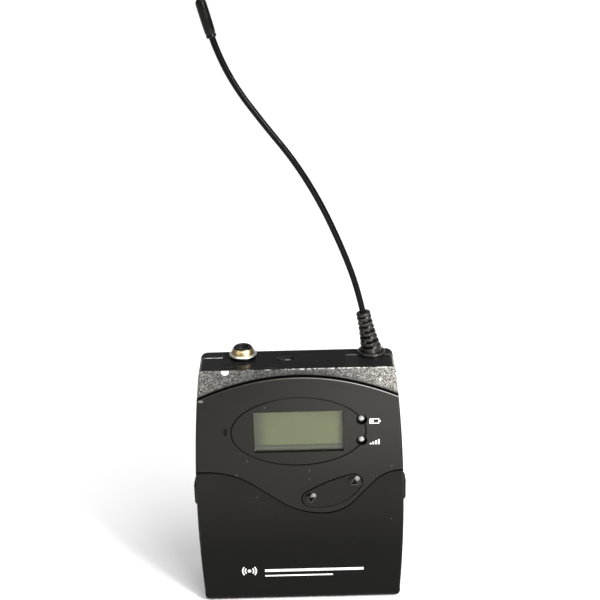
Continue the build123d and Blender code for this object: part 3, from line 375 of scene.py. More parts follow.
# %% Marks of the fronts
ARCH_RADIUS = 75.4 * MM
arch_centre = case_high.z - 2.0 * MM - ARCH_RADIUS
display = middle("display_window")
OVAL_HALF_X = 19.9 * MM
OVAL_HALF_Z = 11.1 * MM


def from_arch(finish):
    """Distance outside the panel's arched edge: root of x squared plus z squared, less R."""
    up = finish.z - arch_centre
    return (finish.x * finish.x + up * up) ** 0.5 - ARCH_RADIUS


def oval_groove(finish):
    """1 on the oval line: the ellipse's own radius is 1 there, times its mean half size."""
    across = finish.x / OVAL_HALF_X
    up = (finish.z - display.z) / OVAL_HALF_Z
    ring = ((across * across + up * up) ** 0.5 - 1) * (14 * MM)
    return ring.band(0, 0.13 * MM, 0.10 * MM)


def facing_up(finish):
    """1 on faces that look upwards, such as the walls of a seam."""
    own = finish.node("ShaderNodeNewGeometry", output="Normal")
    return finish.node("ShaderNodeSeparateXYZ", None, {0: own}, output="Z")


def panel_marks(made, tone):
    """Painted light lighter to the upper right, a painted highlight on the lit arch edge, and painted
    shade on edge rims, in the oval groove and on the walls behind the face.
    """
    # Painted light: the panel is painted lighter towards its upper right.
    right = made.x.rise(-32 * MM, 30 * MM)
    tone = made.mix(right * made.z.rise(34 * MM, 66 * MM) * 0.75, tone, (0.030, 0.0290, 0.0250))
    # Painted shade: the rims of the edges go nearly black.
    edge_shade = made.edges(0.00022, 0.01, 0.12)
    tone = made.mix(edge_shade * 0.85, tone, (0.0015, 0.0015, 0.0015))
    # Painted highlight: a thin light line along the arch edge, brighter to the right; the corner spot is
    # wear.
    arch_highlight = from_arch(made).band(-0.16 * MM, 0.06 * MM, 0.08 * MM) * (right * right * 0.85 + 0.04)
    corner = blot(made, -28.3 * MM, case_high.z - 8.2 * MM, 0.7 * MM, 0.35 * MM)
    tone = made.mix(made.highest(arch_highlight, corner * 0.3), tone, (0.42, 0.41, 0.38))
    # Painted shade: the walls behind the face, the step at the arch and the oval groove go nearly black.
    behind = made.y.rise(panel_front + 0.10 * MM, panel_front + 0.25 * MM)
    behind = behind * made.z.rise(case_high.z - 11 * MM, case_high.z - 13 * MM)
    step = from_arch(made).rise(-0.06 * MM, -0.02 * MM)
    behind = made.highest(behind, step)
    return made.mix(made.highest(oval_groove(made), behind), tone, (0.002, 0.002, 0.002))


def cover_marks(made, tone):
    """Painted shade on edge rims and on the seam's upward wall; the foot of the cover is painted a little
    darker than its head.
    """
    # Painted shade: the rims of the edges go nearly black.
    edge_shade = made.edges(0.00022, 0.01, 0.12)
    tone = made.mix(edge_shade * 0.85, tone, (0.0015, 0.0015, 0.0015))
    # Painted shade: the cover darkens towards its foot.
    foot = made.z.rise(42 * MM, 14 * MM)
    tone = made.mix(foot * 0.85, tone, (0.0030, 0.0030, 0.0027))
    # Painted shade on the seam's upward wall.
    seam = facing_up(made).rise(0.35, 0.60) * made.z.rise(20 * MM, 24 * MM)
    return made.mix(seam, tone, (0.002, 0.002, 0.002))


def blot(finish, x, z, half_x, half_z, soft=0.35):
    """A soft-edged ellipse seen from the front: 1 inside it, 0 outside."""
    across = (finish.x - x) / half_x
    up = (finish.z - z) / half_z
    return (across * across + up * up).rise(1 + soft, 1)


dress(plastic("panel_plastic", (0.0095, 0.0090, 0.0075), 0.46, specular=0.14, wear=0.0, dusty=0.2,
              marks=panel_marks), "front_panel")
dress(plastic("cover_plastic", (0.0105, 0.0100, 0.0085), 0.50, specular=0.07, wear=0.0, dusty=0.2,
              marks=cover_marks), "battery_cover")
print("fronts dressed; the arch's centre is at z =", round(1000 * arch_centre, 2), "mm")

# %% [markdown]
# ## Rear shell
#
# The shell has the same plastic, but its top is rubbed: along the parting line with the front
# frame the black skin is worn through to a bright line. The line lies where the frame ends, so
# its place comes from the frame's box.

# %% Shell finish
split_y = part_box("front_frame")[1].y
shell = Finish("shell_plastic", (0.010, 0.010, 0.010), specular_ior_level=0.12)
shell_clouds = shell.noise(0.012, 3)
near_split = shell.y.band(split_y + 0.15 * MM, 0.15 * MM, 0.25 * MM)
on_top = shell.z.rise(case_high.z - 2.5 * MM, case_high.z - 0.8 * MM)
left_half = shell.x.rise(-10 * MM, -16 * MM) * 0.6 + 0.25
rubbed = near_split * on_top * shell.noise(0.004, 3).rise(0.36, 0.46) * left_half
shell_edges = shell.edges(0.00035) * shell.noise(0.0014, 3).rise(0.45, 0.60)
shell_scuff = shell.noise(0.0015, 4, 0.7, shell.stretched(0.15, 1, 1)).rise(0.60, 0.70)
tone = shell.mix(shell_clouds, (0.006, 0.006, 0.006), (0.013, 0.013, 0.0125))
tone = shell.mix(shell_scuff * 0.12, tone, (0.10, 0.10, 0.095))
tone = shell.mix(shell_edges * 0.35, tone, (0.30, 0.29, 0.27))
tone = shell.mix(rubbed, tone, (0.62, 0.61, 0.58))
dress(shell.set(Base_Color=tone, Roughness=shell_clouds * 0.15 + 0.42,
                Normal=shell.bump(shell.noise(0.0002), 0.00002, shell.rounded(0.00025))),
      "rear_shell")
print("shell parts at y =", round(1000 * split_y, 2), "mm")

# %% [markdown]
# ## Sparkle band
#
# The frame round the panel is painted: a dark grey lacquer with coarse, pale flakes. Voronoi cells give
# one random tone per flake, and a threshold keeps only some bright. The paint is rubbed bright at the
# outer corners and chipped along the front edge of the top face. The flakes are also painted brighter
# towards the right and left sides as painted light, and painted shade darkens the band along the panel's
# arch.


# %% Sparkle paint
band = Finish("sparkle_paint", (0.10, 0.10, 0.098), specular_ior_level=0.25)
flakes = band.node("ShaderNodeSeparateColor", None, {0: band.cells(0.00030, "Color")})
band_clouds = band.noise(0.004, 4)
outside = from_arch(band)
# Painted light: the flakes are painted brighter towards the right and, less, the left.
painted_light_right = band.x.rise(4 * MM, 31 * MM)
painted_light_left = band.x.rise(-6 * MM, -30 * MM) * 0.30
painted_light_sides = band.highest(painted_light_right, painted_light_left) * (band_clouds * 0.5 + 0.75)
dark_flake = band.mix(painted_light_sides, (0.014, 0.014, 0.0135), (0.030, 0.029, 0.027))
pale_flake = band.mix(painted_light_sides, (0.105, 0.106, 0.101), (0.500, 0.480, 0.430))
tone = band.mix(flakes ** 1.7, dark_flake, pale_flake)
# Painted shade: the band darkens towards the panel's arch.
tone = band.mix(outside.rise(2.2 * MM, 0.3 * MM) * 0.45, tone, (0.014, 0.014, 0.0135))
rim_y = -6.42 * MM
on_top_face = band.y.rise(rim_y - 0.02 * MM, rim_y + 0.12 * MM) * band.z.rise(77.6 * MM, 77.8 * MM)
tone = band.mix(on_top_face, tone, (0.007, 0.007, 0.007))
corner_wear = band.edges(0.0004) * abs(band.x).rise(27.5 * MM, 28.2 * MM)
corner_wear = corner_wear * band.noise(0.0014, 3).rise(0.36, 0.50)
near_rim = band.y.band(rim_y + 0.12 * MM, 0.14 * MM, 0.12 * MM) * band.z.rise(77.2 * MM, 77.5 * MM)
chips = near_rim * band.noise(0.0011, 4, 0.65).rise(0.50, 0.54) * band.x.rise(-5 * MM, -2 * MM)
few_chips = near_rim * band.noise(0.0010, 4, 0.65).rise(0.60, 0.64)
chip_z = case_high.z - 0.30 * MM
big_chip = blot(band, -21 * MM, chip_z, 1.08 * MM, 0.85 * MM, 0.3)
big_chip = big_chip * band.y.rise(rim_y + 0.02 * MM, rim_y - 0.10 * MM)
small_chip = blot(band, 24.2 * MM, case_high.z - 3.2 * MM, 0.36 * MM, 0.32 * MM, 0.3)
tone = band.mix(band.highest(corner_wear * 0.7, chips, few_chips), tone, (0.62, 0.60, 0.56))
tone = band.mix(band.highest(big_chip, small_chip), tone, (0.74, 0.70, 0.66))
# Painted shadow: near black along the arch and below it.
arch_shadow = outside.rise(0.80 * MM, 0.50 * MM)
tone = band.mix(arch_shadow, tone, (0.003, 0.003, 0.003))
band_relief = band.bump(flakes, 0.00003, band.rounded(0.0003))
dress(band.set(Base_Color=tone, Roughness=flakes * -0.15 + 0.52, Normal=band_relief),
      "front_frame")
print("sparkle band dressed")

# %% [markdown]
# ## Display
#
# The display cell is unpowered: a reflective liquid-crystal panel shows a grey-green ground, with painted
# shade darkening its left edge, its right edge a little and its top, and with the polariser's edge as a
# soft dark line near the bottom. The clear window in front of it is a new thin pane with softened edges,
# left a hair off the cell, because two solids that share a face confuse a path tracer.

# %% Display cell finish
lcd_low, lcd_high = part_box("display_window")
lcd = Finish("display_cell", (0.2, 0.22, 0.16), specular_ior_level=0.3)
# Painted shade at the left and right edges and at the top.
left_shade = lcd.highest(lcd.x.rise(lcd_low.x + 4.6 * MM, lcd_low.x),
                         lcd.x.rise(lcd_high.x - 1.8 * MM, lcd_high.x - 0.6 * MM) * 0.8)
foot_band = lcd.z.rise(lcd_low.z + 1.15 * MM, lcd_low.z + 0.95 * MM)
foot_line = lcd.z.band(lcd_low.z + 1.5 * MM, 0.22 * MM, 0.35 * MM)
head_shade = lcd.z.rise(lcd_high.z - 1.1 * MM, lcd_high.z)
tone = lcd.mix(lcd.noise(0.006, 2), (0.118, 0.124, 0.046), (0.142, 0.148, 0.060))
tone = lcd.mix(left_shade * 0.85, tone, (0.030, 0.034, 0.016))
tone = lcd.mix(head_shade * 0.45, tone, (0.06, 0.067, 0.040))
tone = lcd.mix(foot_line * 0.85, tone, (0.030, 0.034, 0.022))
tone = lcd.mix(foot_band * 0.75, tone, (0.075, 0.080, 0.062))
tone = lcd.mix(dust(lcd, 0.0022, 0.26, 0.12), tone, (0.62, 0.63, 0.50))
dress(lcd.set(Base_Color=tone, Roughness=lcd.noise(0.004) * 0.1 + 0.3), "lcd_glass")
print("display cell", [round(1000 * s, 1) for s in lcd_high - lcd_low], "mm")

# %% [markdown]
# ## Metals, rubber, boards and cells
#
# These show at the socket, on the back, and when the cover is open. Metals need little colour
# variation but clear changes of roughness. Turned brass gets fine rings round its axis, steel
# gets drawn-out scratches, the board gets pale traces under its green mask, and the cells get
# a printed sleeve with two tones and a plus sign's worth of bare metal at the end.


# %% Metals
def metal(name, colour, roughness, scratch=(1, 1, 0.1)):
    """Bare metal: scratches drawn out along one axis, tarnish clouds and rounded edges."""
    made = Finish(name, colour, metallic=1.0)
    tarnish = made.noise(0.004, 4)
    lines = made.noise(0.0005, 3, 0.6, made.stretched(*scratch))
    tone = made.mix(tarnish, tuple(0.72 * c for c in colour), colour)
    matt = lines * 0.25 + (roughness - 0.10)
    relief = made.bump(lines, 0.000006, made.rounded(0.00012))
    return made.set(Base_Color=tone, Roughness=matt, Normal=relief)


gilt = metal("gilt_brass", (0.86, 0.71, 0.42), 0.22, (1, 1, 4))
nickel = metal("nickel_plate", (0.72, 0.70, 0.65), 0.30)
dress(gilt, "antenna_ferrule")
dress(nickel, "cell_plates", "jack_nut", "antenna_contact")
dress(metal("ground_steel", (0.56, 0.56, 0.55), 0.32, (0.1, 1, 1)), "hinge_pin", "rocker_pivot",
      "case_screws", "catch_spring_left", "catch_spring_right")
dress(metal("tinned_sheet", (0.66, 0.66, 0.63), 0.38), "rf_shield", "tact_switches")
print("metals dressed")

# %% Belt clip
clip = Finish("clip_black_steel", (0.02, 0.02, 0.02), specular_ior_level=0.5, metallic=0.0)
clip_wear = clip.edges(0.0005) * clip.noise(0.002, 4).rise(0.44, 0.58)
clip_lines = clip.noise(0.0009, 4, 0.7, clip.stretched(1, 1, 0.05))
rub = clip_lines.rise(0.62, 0.72) * clip.z.rise(40 * MM, 16 * MM)
bare = clip.highest(clip_wear * 0.8, rub * 0.7)
tone = clip.mix(clip.noise(0.01, 3), (0.014, 0.014, 0.014), (0.027, 0.027, 0.026))
tone = clip.mix(bare, tone, (0.50, 0.50, 0.49))
dress(clip.set(Base_Color=tone, Metallic=bare, Roughness=clip_lines * 0.2 + 0.28,
               Normal=clip.bump(clip_lines, 0.000008, clip.rounded(0.0003))), "belt_clip")

# %% Top plate, flange and rubber
plate = Finish("plate_gloss", (0.007, 0.007, 0.007), specular_ior_level=0.10)
plate_lines = plate.noise(0.0011, 4, 0.7, plate.stretched(0.10, 1, 1)).rise(0.60, 0.70)
tone = plate.mix(plate.noise(0.008, 3), (0.004, 0.004, 0.004), (0.009, 0.009, 0.009))
tone = plate.mix(plate_lines * 0.16, tone, (0.16, 0.16, 0.15))
tone = plate.mix(plate.edges(0.0003) * 0.25, tone, (0.25, 0.25, 0.24))
dress(plate.set(Base_Color=tone, Roughness=plate_lines * 0.15 + 0.24,
                Normal=plate.bump(plate.noise(0.0006), 0.00001, plate.rounded(0.00015))),
      "top_plate")


def rubber(name, colour, roughness, specular=0.5):
    """Smooth moulded rubber: a waxy sheen that varies, fine pores, a trace of dust and painted shade in
    its slots.
    """
    made = Finish(name, colour, specular_ior_level=specular)
    bloom = made.noise(0.0025, 4)
    tone = made.mix(bloom.rise(0.50, 0.70) * 0.45, colour, tuple(3.0 * c for c in colour))
    # Painted shade: the boot's slots and other crevices go nearly black.
    tone = made.mix(made.crevice_shade(0.0012), tone, (0.001, 0.001, 0.001))
    tone = made.mix(dust(made, 0.0017, 0.10) * 0.4, tone, (0.3, 0.29, 0.27))
    relief = made.bump(made.noise(0.0003, 3), 0.000012, made.rounded(0.0001))
    return made.set(Base_Color=tone, Roughness=bloom * 0.16 + (roughness - 0.08), Normal=relief)


boot_rubber = rubber("boot_rubber", (0.012, 0.0110, 0.0092), 0.24, 0.42)
whip_rubber = rubber("whip_rubber", (0.0025, 0.0025, 0.0025), 0.22, 0.08)
cap_rubber = rubber("cap_rubber", (0.004, 0.0038, 0.0035), 0.20, 0.12)
dress(boot_rubber, "antenna_flange")
print("rubber ready")

# %% Indicators, light guide, board and cells
led = Finish("indicator_resin", (0.42, 0.42, 0.41), roughness=0.22, transmission_weight=0.15, ior=1.5)
dress(led.set(Normal=led.bump(led.noise(0.0005), 0.000004)), "led_upper", "led_lower")

guide = Finish("light_guide", (0.7, 0.7, 0.66))
dress(guide.set(Roughness=guide.noise(0.002) * 0.3 + 0.3), "lcd_backlight")

strip = Finish("elastomer_strip", (0.2, 0.2, 0.2), roughness=0.6)
stripes = strip.math("SINE", strip.x * (2 * math.pi / (0.4 * MM))).rise(-0.2, 0.2)
dress(strip.set(Base_Color=strip.mix(stripes, (0.02, 0.02, 0.02), (0.45, 0.45, 0.42))),
      "contact_strips")

board = Finish("board_mask", (0.02, 0.12, 0.05), specular_ior_level=0.6)
runs = board.noise(0.0045, 1, 0.3, board.stretched(1, 1, 0.3))
traces = abs(board.math("SINE", runs * 70)).rise(0.72, 0.86)
pads = board.cells(0.0031).rise(0.16, 0.13)
tone = board.mix(traces * 0.6, (0.012, 0.085, 0.032), (0.035, 0.19, 0.08))
tone = board.mix(pads * 0.8, tone, (0.62, 0.60, 0.52))
dress(board.set(Base_Color=tone, Roughness=traces * 0.1 + 0.3,
                Normal=board.bump(traces, 0.00003)), "main_board", "socket_board")

parts = Finish("component_bodies", (0.03, 0.03, 0.03))
kinds = parts.node("ShaderNodeSeparateColor", None, {0: parts.cells(0.006, "Color")})
tone = parts.mix(kinds.rise(0.55, 0.6), (0.025, 0.025, 0.027), (0.23, 0.17, 0.10))
dress(parts.set(Base_Color=tone, Roughness=parts.noise(0.0006) * 0.3 + 0.35), "board_components")

# %% Cell sleeves
CELL_HALF = 25.25 * MM


def sleeve(name, plus):
    """Shrink sleeve: a dark body, a coppery end near the plus side, a thin ring and bare ends."""
    made = Finish(name, (0.02, 0.02, 0.024), specular_ior_level=0.6)
    along = made.x * plus
    copper = along.rise(12.4 * MM, 12.7 * MM)
    ring = along.band(11.2 * MM, 0.35 * MM, 0.1 * MM)
    bare = along.rise(CELL_HALF - 1.5 * MM, CELL_HALF - 1.3 * MM)
    bare = made.highest(bare, along.rise(0.6 * MM - CELL_HALF, 0.4 * MM - CELL_HALF))
    tone = made.mix(made.noise(0.01, 3), (0.016, 0.016, 0.019), (0.026, 0.026, 0.030))
    tone = made.mix(made.highest(copper, ring), tone, (0.62, 0.33, 0.13))
    tone = made.mix(bare, tone, (0.70, 0.69, 0.66))
    wrinkles = made.noise(0.003, 3, 0.6, made.stretched(0.3, 1, 1))
    return made.set(Base_Color=tone, Metallic=made.highest(bare, copper * 0.7),
                    Roughness=wrinkles * 0.15 + 0.22, Normal=made.bump(wrinkles, 0.00004))


dress(sleeve("sleeve_plus_right", 1), "battery_lower")
dress(sleeve("sleeve_plus_left", -1), "battery_upper")

label = Finish("label_foil", (0.42, 0.42, 0.41), metallic=0.6)
label_low, label_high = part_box("type_label")
frame_x = (abs(label.x) - label_high.x).band(-0.9 * MM, 0.12 * MM, 0.05 * MM)
label_mid = (label_low.z + label_high.z) / 2
frame_z = (abs(label.z - label_mid) - (label_high.z - label_mid)).band(-0.9 * MM, 0.12 * MM, 0.05 * MM)
rows = label.math("SINE", (label.z - label_mid) * (2 * math.pi / (3.2 * MM))).rise(0.90, 0.94)
rows = rows * abs(label.x).rise(15 * MM, 14.8 * MM)
ink = label.highest(frame_x, frame_z, rows * 0.8)
tone = label.mix(label.noise(0.006, 4), (0.34, 0.34, 0.335), (0.46, 0.46, 0.455))
tone = label.mix(ink, tone, (0.05, 0.05, 0.05))
dress(label.set(Base_Color=tone, Roughness=label.noise(0.001, 4) * 0.3 + 0.28), "type_label")
print("boards, cells and label dressed")

# %% [markdown]
# ## Surfaces worked out with numpy
#
# Every new piece is a grid of points: rows along it, columns round it. The whole grid is computed
# as one array, the faces come from index arithmetic, and coinciding points are merged afterwards,
# which closes the poles of turned shapes. Three makers cover all pieces: a turned profile,
# a tube along a path, and an outline lofted through rings of changing size.


# %% Grid to mesh
def piece_from_grids(name, grids, material, body, closed=True):
    """One object from arrays of points (rows, columns, 3). Each face joins a point with its
    neighbours in the next column and the next row; closed columns wrap round to the first.
    Unclosed pieces are films on the front, so they are turned to face forwards."""
    points, faces, start = [], [], 0
    for grid in grids:
        rows_n, columns_n = grid.shape[:2]
        index = np.arange(rows_n * columns_n).reshape(rows_n, columns_n) + start
        across = np.roll(index, -1, axis=1) if closed else index[:, 1:]
        here = index if closed else index[:, :-1]
        quads = np.stack([here[:-1], across[:-1], across[1:], here[1:]], axis=-1)
        faces.append(quads.reshape(-1, 4))
        points.append(grid.reshape(-1, 3))
        start += rows_n * columns_n
    mesh = bpy.data.meshes.new(name)
    mesh.from_pydata(np.concatenate(points).tolist(), [], np.concatenate(faces).tolist())
    work = bmesh.new()
    work.from_mesh(mesh)
    bmesh.ops.remove_doubles(work, verts=work.verts, dist=1e-7)
    bmesh.ops.recalc_face_normals(work, faces=work.faces)
    if not closed and sum(face.normal.y for face in work.faces) > 0:
        bmesh.ops.reverse_faces(work, faces=work.faces)
    work.to_mesh(mesh)
    work.free()
    mesh.shade_smooth()
    mesh.materials.append(material)
    made = bpy.data.objects.new(name, mesh)
    bpy.context.scene.collection.objects.link(made)
    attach(made, body)
    print(name, len(mesh.polygons), "faces")
    return made


def turned(profile, sides, relief=None):
    """Surface of revolution about Z: a profile point (radius, height) goes round at that radius,
    to radius times cosine, radius times sine, height. Relief may change the radius by angle."""
    radius, height = np.array(profile, float).T
    angle = np.linspace(0, 2 * np.pi, sides, endpoint=False)
    radius = radius[:, None] + (0 if relief is None else relief(height[:, None], angle[None, :]))
    height = np.broadcast_to(height[:, None], radius.shape if radius.shape[1] > 1
                             else (len(height), sides))
    radius = np.broadcast_to(radius, height.shape)
    return np.stack([radius * np.cos(angle), radius * np.sin(angle), height], axis=-1)


def placed(grid, origin, direction=(0, 0, 1)):
    """A grid made about Z, turned so that Z points along the direction, and moved to the origin."""
    turn = np.array(Vector(direction).to_track_quat("Z", "Y").to_matrix())
    return (grid @ turn.T + np.array(origin) / MM) * MM


print("surface helpers ready")

# %% [markdown]
# ## Antenna boot
#
# The boot is a strain relief: a rubber cone cut by rows of slots, so that it bends gently. The
# slots leave rings, joined by short webs that are staggered from row to row. As a surface it is
# a cone whose radius dips between the rings, except at the webs.

# %% Boot shape
LEAN = math.radians(11.3)
BOOT_LENGTH = 12.6
FOOT_RADIUS = 3.25
HEAD_RADIUS = 2.1
SLOT_DEPTH = 1.10
PITCH = 1.62
FIRST_SLOT = 1.9

mast = middle("antenna_flange")
mast.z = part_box("antenna_flange")[1].z
lean = Vector((-math.sin(LEAN), 0, math.cos(LEAN)))


def slots(height, angle):
    """Slots between the rings. A smooth comb along the height gives one slot a pitch, and webs
    fill it on two sides; the webs turn by a quarter from one row to the next."""
    turn = (height - FIRST_SLOT) / PITCH
    row = np.round(turn)
    comb = np.clip(1.25 - np.abs(turn - row) / 0.27, 0, 1)
    comb = comb * comb * (3 - 2 * comb)
    comb = comb * (height > FIRST_SLOT - 0.8) * (height < BOOT_LENGTH - 0.9)
    web = np.clip((np.cos(2 * (angle - row * np.pi / 2 - 0.6)) - 0.55) / 0.25, 0, 1)
    share = height / BOOT_LENGTH
    return -(SLOT_DEPTH - 0.35 * share) * comb * (1 - 0.75 * web)


def boot_radius(height):
    """Radius of the uncut cone, narrowing evenly from foot to head with a slight waist."""
    share = height / BOOT_LENGTH
    return FOOT_RADIUS + (HEAD_RADIUS - FOOT_RADIUS) * share - 0.25 * np.sin(np.pi * share)


heights = np.linspace(0.0, BOOT_LENGTH - 0.35, 180)
wall = np.stack([boot_radius(heights), heights], axis=-1)
head = [(boot_radius(BOOT_LENGTH) - 0.15, BOOT_LENGTH - 0.12), (HEAD_RADIUS - 0.6, BOOT_LENGTH),
        (0.85, BOOT_LENGTH - 0.05), (0.0, BOOT_LENGTH - 0.05)]
foot = [(0.0, 0.0)]
boot_profile = np.concatenate([foot, wall, head])
boot_grid = placed(turned(boot_profile, 72, slots), mast - lean * 0.1 * MM, lean)
boot = piece_from_grids("boot", [boot_grid], boot_rubber, "case")
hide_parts("antenna_boot")

# %% [markdown]
# ## Whip and cap
#
# The whip is a sprung wire in a smooth rubber coat. Its line is a quadratic spline: on each
# stretch it leaves the middle of one run of its guide points and reaches the middle of the next.
# The tube carries a circle along that line. The cap is turned, with a rolled lip and a round end.


# %% Tube along a path
def spline(guides, steps):
    """Quadratic spline inside a chain of guide points: on each stretch the point is the blend
    (1-t)^2 of the run's middle, 2t(1-t) of the guide and t^2 of the next run's middle."""
    guides = np.array(guides, float)
    mids = (guides[:-1] + guides[1:]) / 2
    mids[0], mids[-1] = guides[0], guides[-1]
    t = np.linspace(0, 1, steps, endpoint=False)[None, :, None]
    parts_of_line = (1 - t) ** 2 * mids[:-1, None] + 2 * t * (1 - t) * guides[1:-1, None]
    parts_of_line = parts_of_line + t ** 2 * mids[1:, None]
    return np.concatenate([parts_of_line.reshape(-1, 3), mids[-1:]])


def tube(line, radius, sides, reference):
    """A circle carried along a line: at each point it lies across the line, spanned by the
    sideways vector (line direction crossed with the reference) and the vector square to both."""
    ahead = np.gradient(line, axis=0)
    ahead /= np.linalg.norm(ahead, axis=1, keepdims=True)
    side = np.cross(ahead, np.array(reference, float))
    side /= np.linalg.norm(side, axis=1, keepdims=True)
    up = np.cross(side, ahead)
    angle = np.linspace(0, 2 * np.pi, sides, endpoint=False)[None, :, None]
    radius = np.broadcast_to(radius, len(line))[:, None, None]
    rings = line[:, None] + radius * (np.cos(angle) * side[:, None] + np.sin(angle) * up[:, None])
    ends = [np.broadcast_to(line[i], (1, rings.shape[1], 3)) for i in (0, -1)]
    return np.concatenate([ends[0], rings, ends[1]])


# %% Whip
WHIP_RADIUS = 0.9
WHIP_GUIDES = [(-2.9, 11.6), (-6.6, 21.6), (-12.0, 34.0), (-19.0, 46.2), (-27.3, 57.0),
               (-34.8, 67.6), (-39.6, 77.9), (-43.3, 91.6)]
CAP_LENGTH = 10.9

boot_top = mast / MM + lean * BOOT_LENGTH
guide_points = [boot_top - lean * 3.0, boot_top + lean * 3.0]
guide_points += [boot_top + Vector((x, 0, z)) for x, z in WHIP_GUIDES]
whip_end = guide_points[-1]
cap_aim = (whip_end - guide_points[-2]).normalized()
guide_points[-1] = whip_end - cap_aim * (CAP_LENGTH - 3.0)
whip_line = spline(guide_points, 26) * MM
whip = piece_from_grids("whip", [tube(whip_line, WHIP_RADIUS * MM, 20, (0, 1, 0))], whip_rubber,
                        "case")
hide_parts("antenna_whip")
print("whip length", round(1000 * np.linalg.norm(np.diff(whip_line, axis=0), axis=1).sum(), 1), "mm")

# %% Cap
cap_round = np.linspace(0, np.pi / 2, 12)[1:]
cap_profile = [(0.0, 0.0), (1.05, 0.0), (1.30, 0.10), (1.42, 0.32), (1.42, 0.75), (1.30, 0.95),
               (1.30, 1.15), (1.44, 1.35), (1.50, 2.6), (1.52, 5.5), (1.50, CAP_LENGTH - 1.6)]
cap_profile += [(1.50 * math.cos(a), CAP_LENGTH - 1.6 + 1.6 * math.sin(a)) for a in cap_round]
cap_grid = placed(turned(cap_profile, 32), (whip_end - cap_aim * CAP_LENGTH) * MM, cap_aim)
cap = piece_from_grids("whip_cap", [cap_grid], cap_rubber, "case")
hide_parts("antenna_tip")

# %% [markdown]
# ## Microphone socket
#
# The gilt collar is a turned part: a flange on a dark seal, an undercut, and a sleeve with a fine thread
# that tapers to its mouth. A dark moulded rim lines the mouth. All three are profiles turned about the
# socket's axis, and the thread is a cosine ripple on the radius. The gilt is painted near black at the
# sleeve's sides, a painted dark reflection, and near white on the flange, a painted highlight.

# %% Collar and rim
socket_place = middle("jack_collar")
socket_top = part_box("jack_collar")[1].z / MM - 0.45
plate_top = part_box("top_plate")[1].z / MM
THREAD_PITCH = 0.5
flange_low = plate_top + 0.85
thread = np.linspace(flange_low + 0.75, socket_top - 0.42, 70)
share = (thread - thread[0]) / (thread[-1] - thread[0])
ripple = 0.025 * np.cos(2 * np.pi * thread / THREAD_PITCH)
sleeve_wall = np.stack([3.35 - 0.55 * share ** 2 + ripple, thread], axis=-1)
collar_profile = np.concatenate([
    [(0.0, flange_low), (3.80, flange_low), (4.02, flange_low + 0.08), (4.05, flange_low + 0.22),
     (3.95, flange_low + 0.38), (3.62, flange_low + 0.56), (3.22, flange_low + 0.60),
     (3.18, flange_low + 0.68)],
    sleeve_wall,
    [(2.60, socket_top - 0.36), (2.20, socket_top - 0.34), (1.90, socket_top - 0.40),
     (1.85, flange_low + 0.2), (0.0, flange_low + 0.2)]])
at_socket = Vector((socket_place.x, socket_place.y, 0))
collar_gilt = Finish("collar_gilt", (0.80, 0.62, 0.33), metallic=1.0)
# Painted reflection: the sleeve's sides are painted near black.
painted_dark_sides = abs(collar_gilt.x - socket_place.x).rise(1.5 * MM, 3.2 * MM)
streaks = collar_gilt.noise(0.0007, 3, 0.6, collar_gilt.stretched(1, 1, 0.2))
sleeve_tone = collar_gilt.mix(painted_dark_sides * 0.9, (0.80, 0.62, 0.33), (0.10, 0.075, 0.04))
sleeve_tone = collar_gilt.mix(streaks.rise(0.50, 0.62) * 0.5, sleeve_tone, (0.28, 0.20, 0.10))
# Painted highlight: the flange is painted near white.
flange_highlight = collar_gilt.z.rise((flange_low + 0.64) * MM, (flange_low + 0.58) * MM)
tone = collar_gilt.mix(flange_highlight, sleeve_tone, (0.98, 0.92, 0.80))
collar_finish = collar_gilt.set(Base_Color=tone, Roughness=streaks * 0.2 + 0.22,
                                Normal=collar_gilt.bump(streaks, 0.000004))
collar = piece_from_grids("collar", [placed(turned(collar_profile, 64), at_socket)], collar_finish,
                          "case")
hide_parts("jack_collar")

rim_round = np.linspace(-0.25 * np.pi, 1.25 * np.pi, 14)
rim_section = np.stack([2.24 + 0.48 * np.cos(rim_round), socket_top - 0.40
                        + 0.40 * np.sin(rim_round)], axis=-1)
rim_profile = np.concatenate([rim_section, [(1.80, socket_top - 0.9), (1.80, socket_top - 2.2),
                                            (0.0, socket_top - 2.2)]])
rim_material = plastic("socket_rim", (0.004, 0.004, 0.004), 0.25, wear=0.0, dusty=0, specular=0.2)
piece_from_grids("socket_rim", [placed(turned(rim_profile, 48), at_socket)], rim_material,
                 "case")
seal_profile = [(0.0, plate_top - 0.02), (3.70, plate_top - 0.02), (3.80, plate_top + 0.10),
                (3.80, plate_top + 0.70), (3.70, flange_low - 0.01), (0.0, flange_low - 0.01)]
piece_from_grids("socket_seal", [placed(turned(seal_profile, 48), at_socket)], rim_material,
                 "case")

# %% [markdown]
# ## Mute knob and catches
#
# Both are small pads that a finger pushes, so both have ridges. A pad is an outline lofted
# through rings: the outline's size changes from ring to ring as the pad rises, rounds over and
# closes in the middle of its face, and the ridges are a cosine added to the face's height.


# %% Lofted pads
def superellipse(half_a, half_b, power, sides):
    """Rounded outline: |a|^power + |b|^power = 1 scaled to the half sizes. Power 2 is an ellipse,
    and a higher power squares it up."""
    angle = np.linspace(0, 2 * np.pi, sides, endpoint=False)
    a, b = np.cos(angle), np.sin(angle)
    size = (np.abs(a) ** power + np.abs(b) ** power) ** (-1 / power)
    return np.stack([half_a * a * size, half_b * b * size], axis=-1)


def loft(outline, rings, ridge=None):
    """Rings (scale, height) of an outline in the plane, stacked along Z, so that each point is the
    outline point times the scale, at that height plus the ridge's height there."""
    scale, height = np.array(rings, float).T
    flat = outline[None] * scale[:, None, None]
    height = np.broadcast_to(height[:, None], flat.shape[:2])
    if ridge is not None:
        height = height + ridge(flat[..., 0], flat[..., 1], scale[:, None])
    return np.concatenate([flat, height[..., None]], axis=-1)


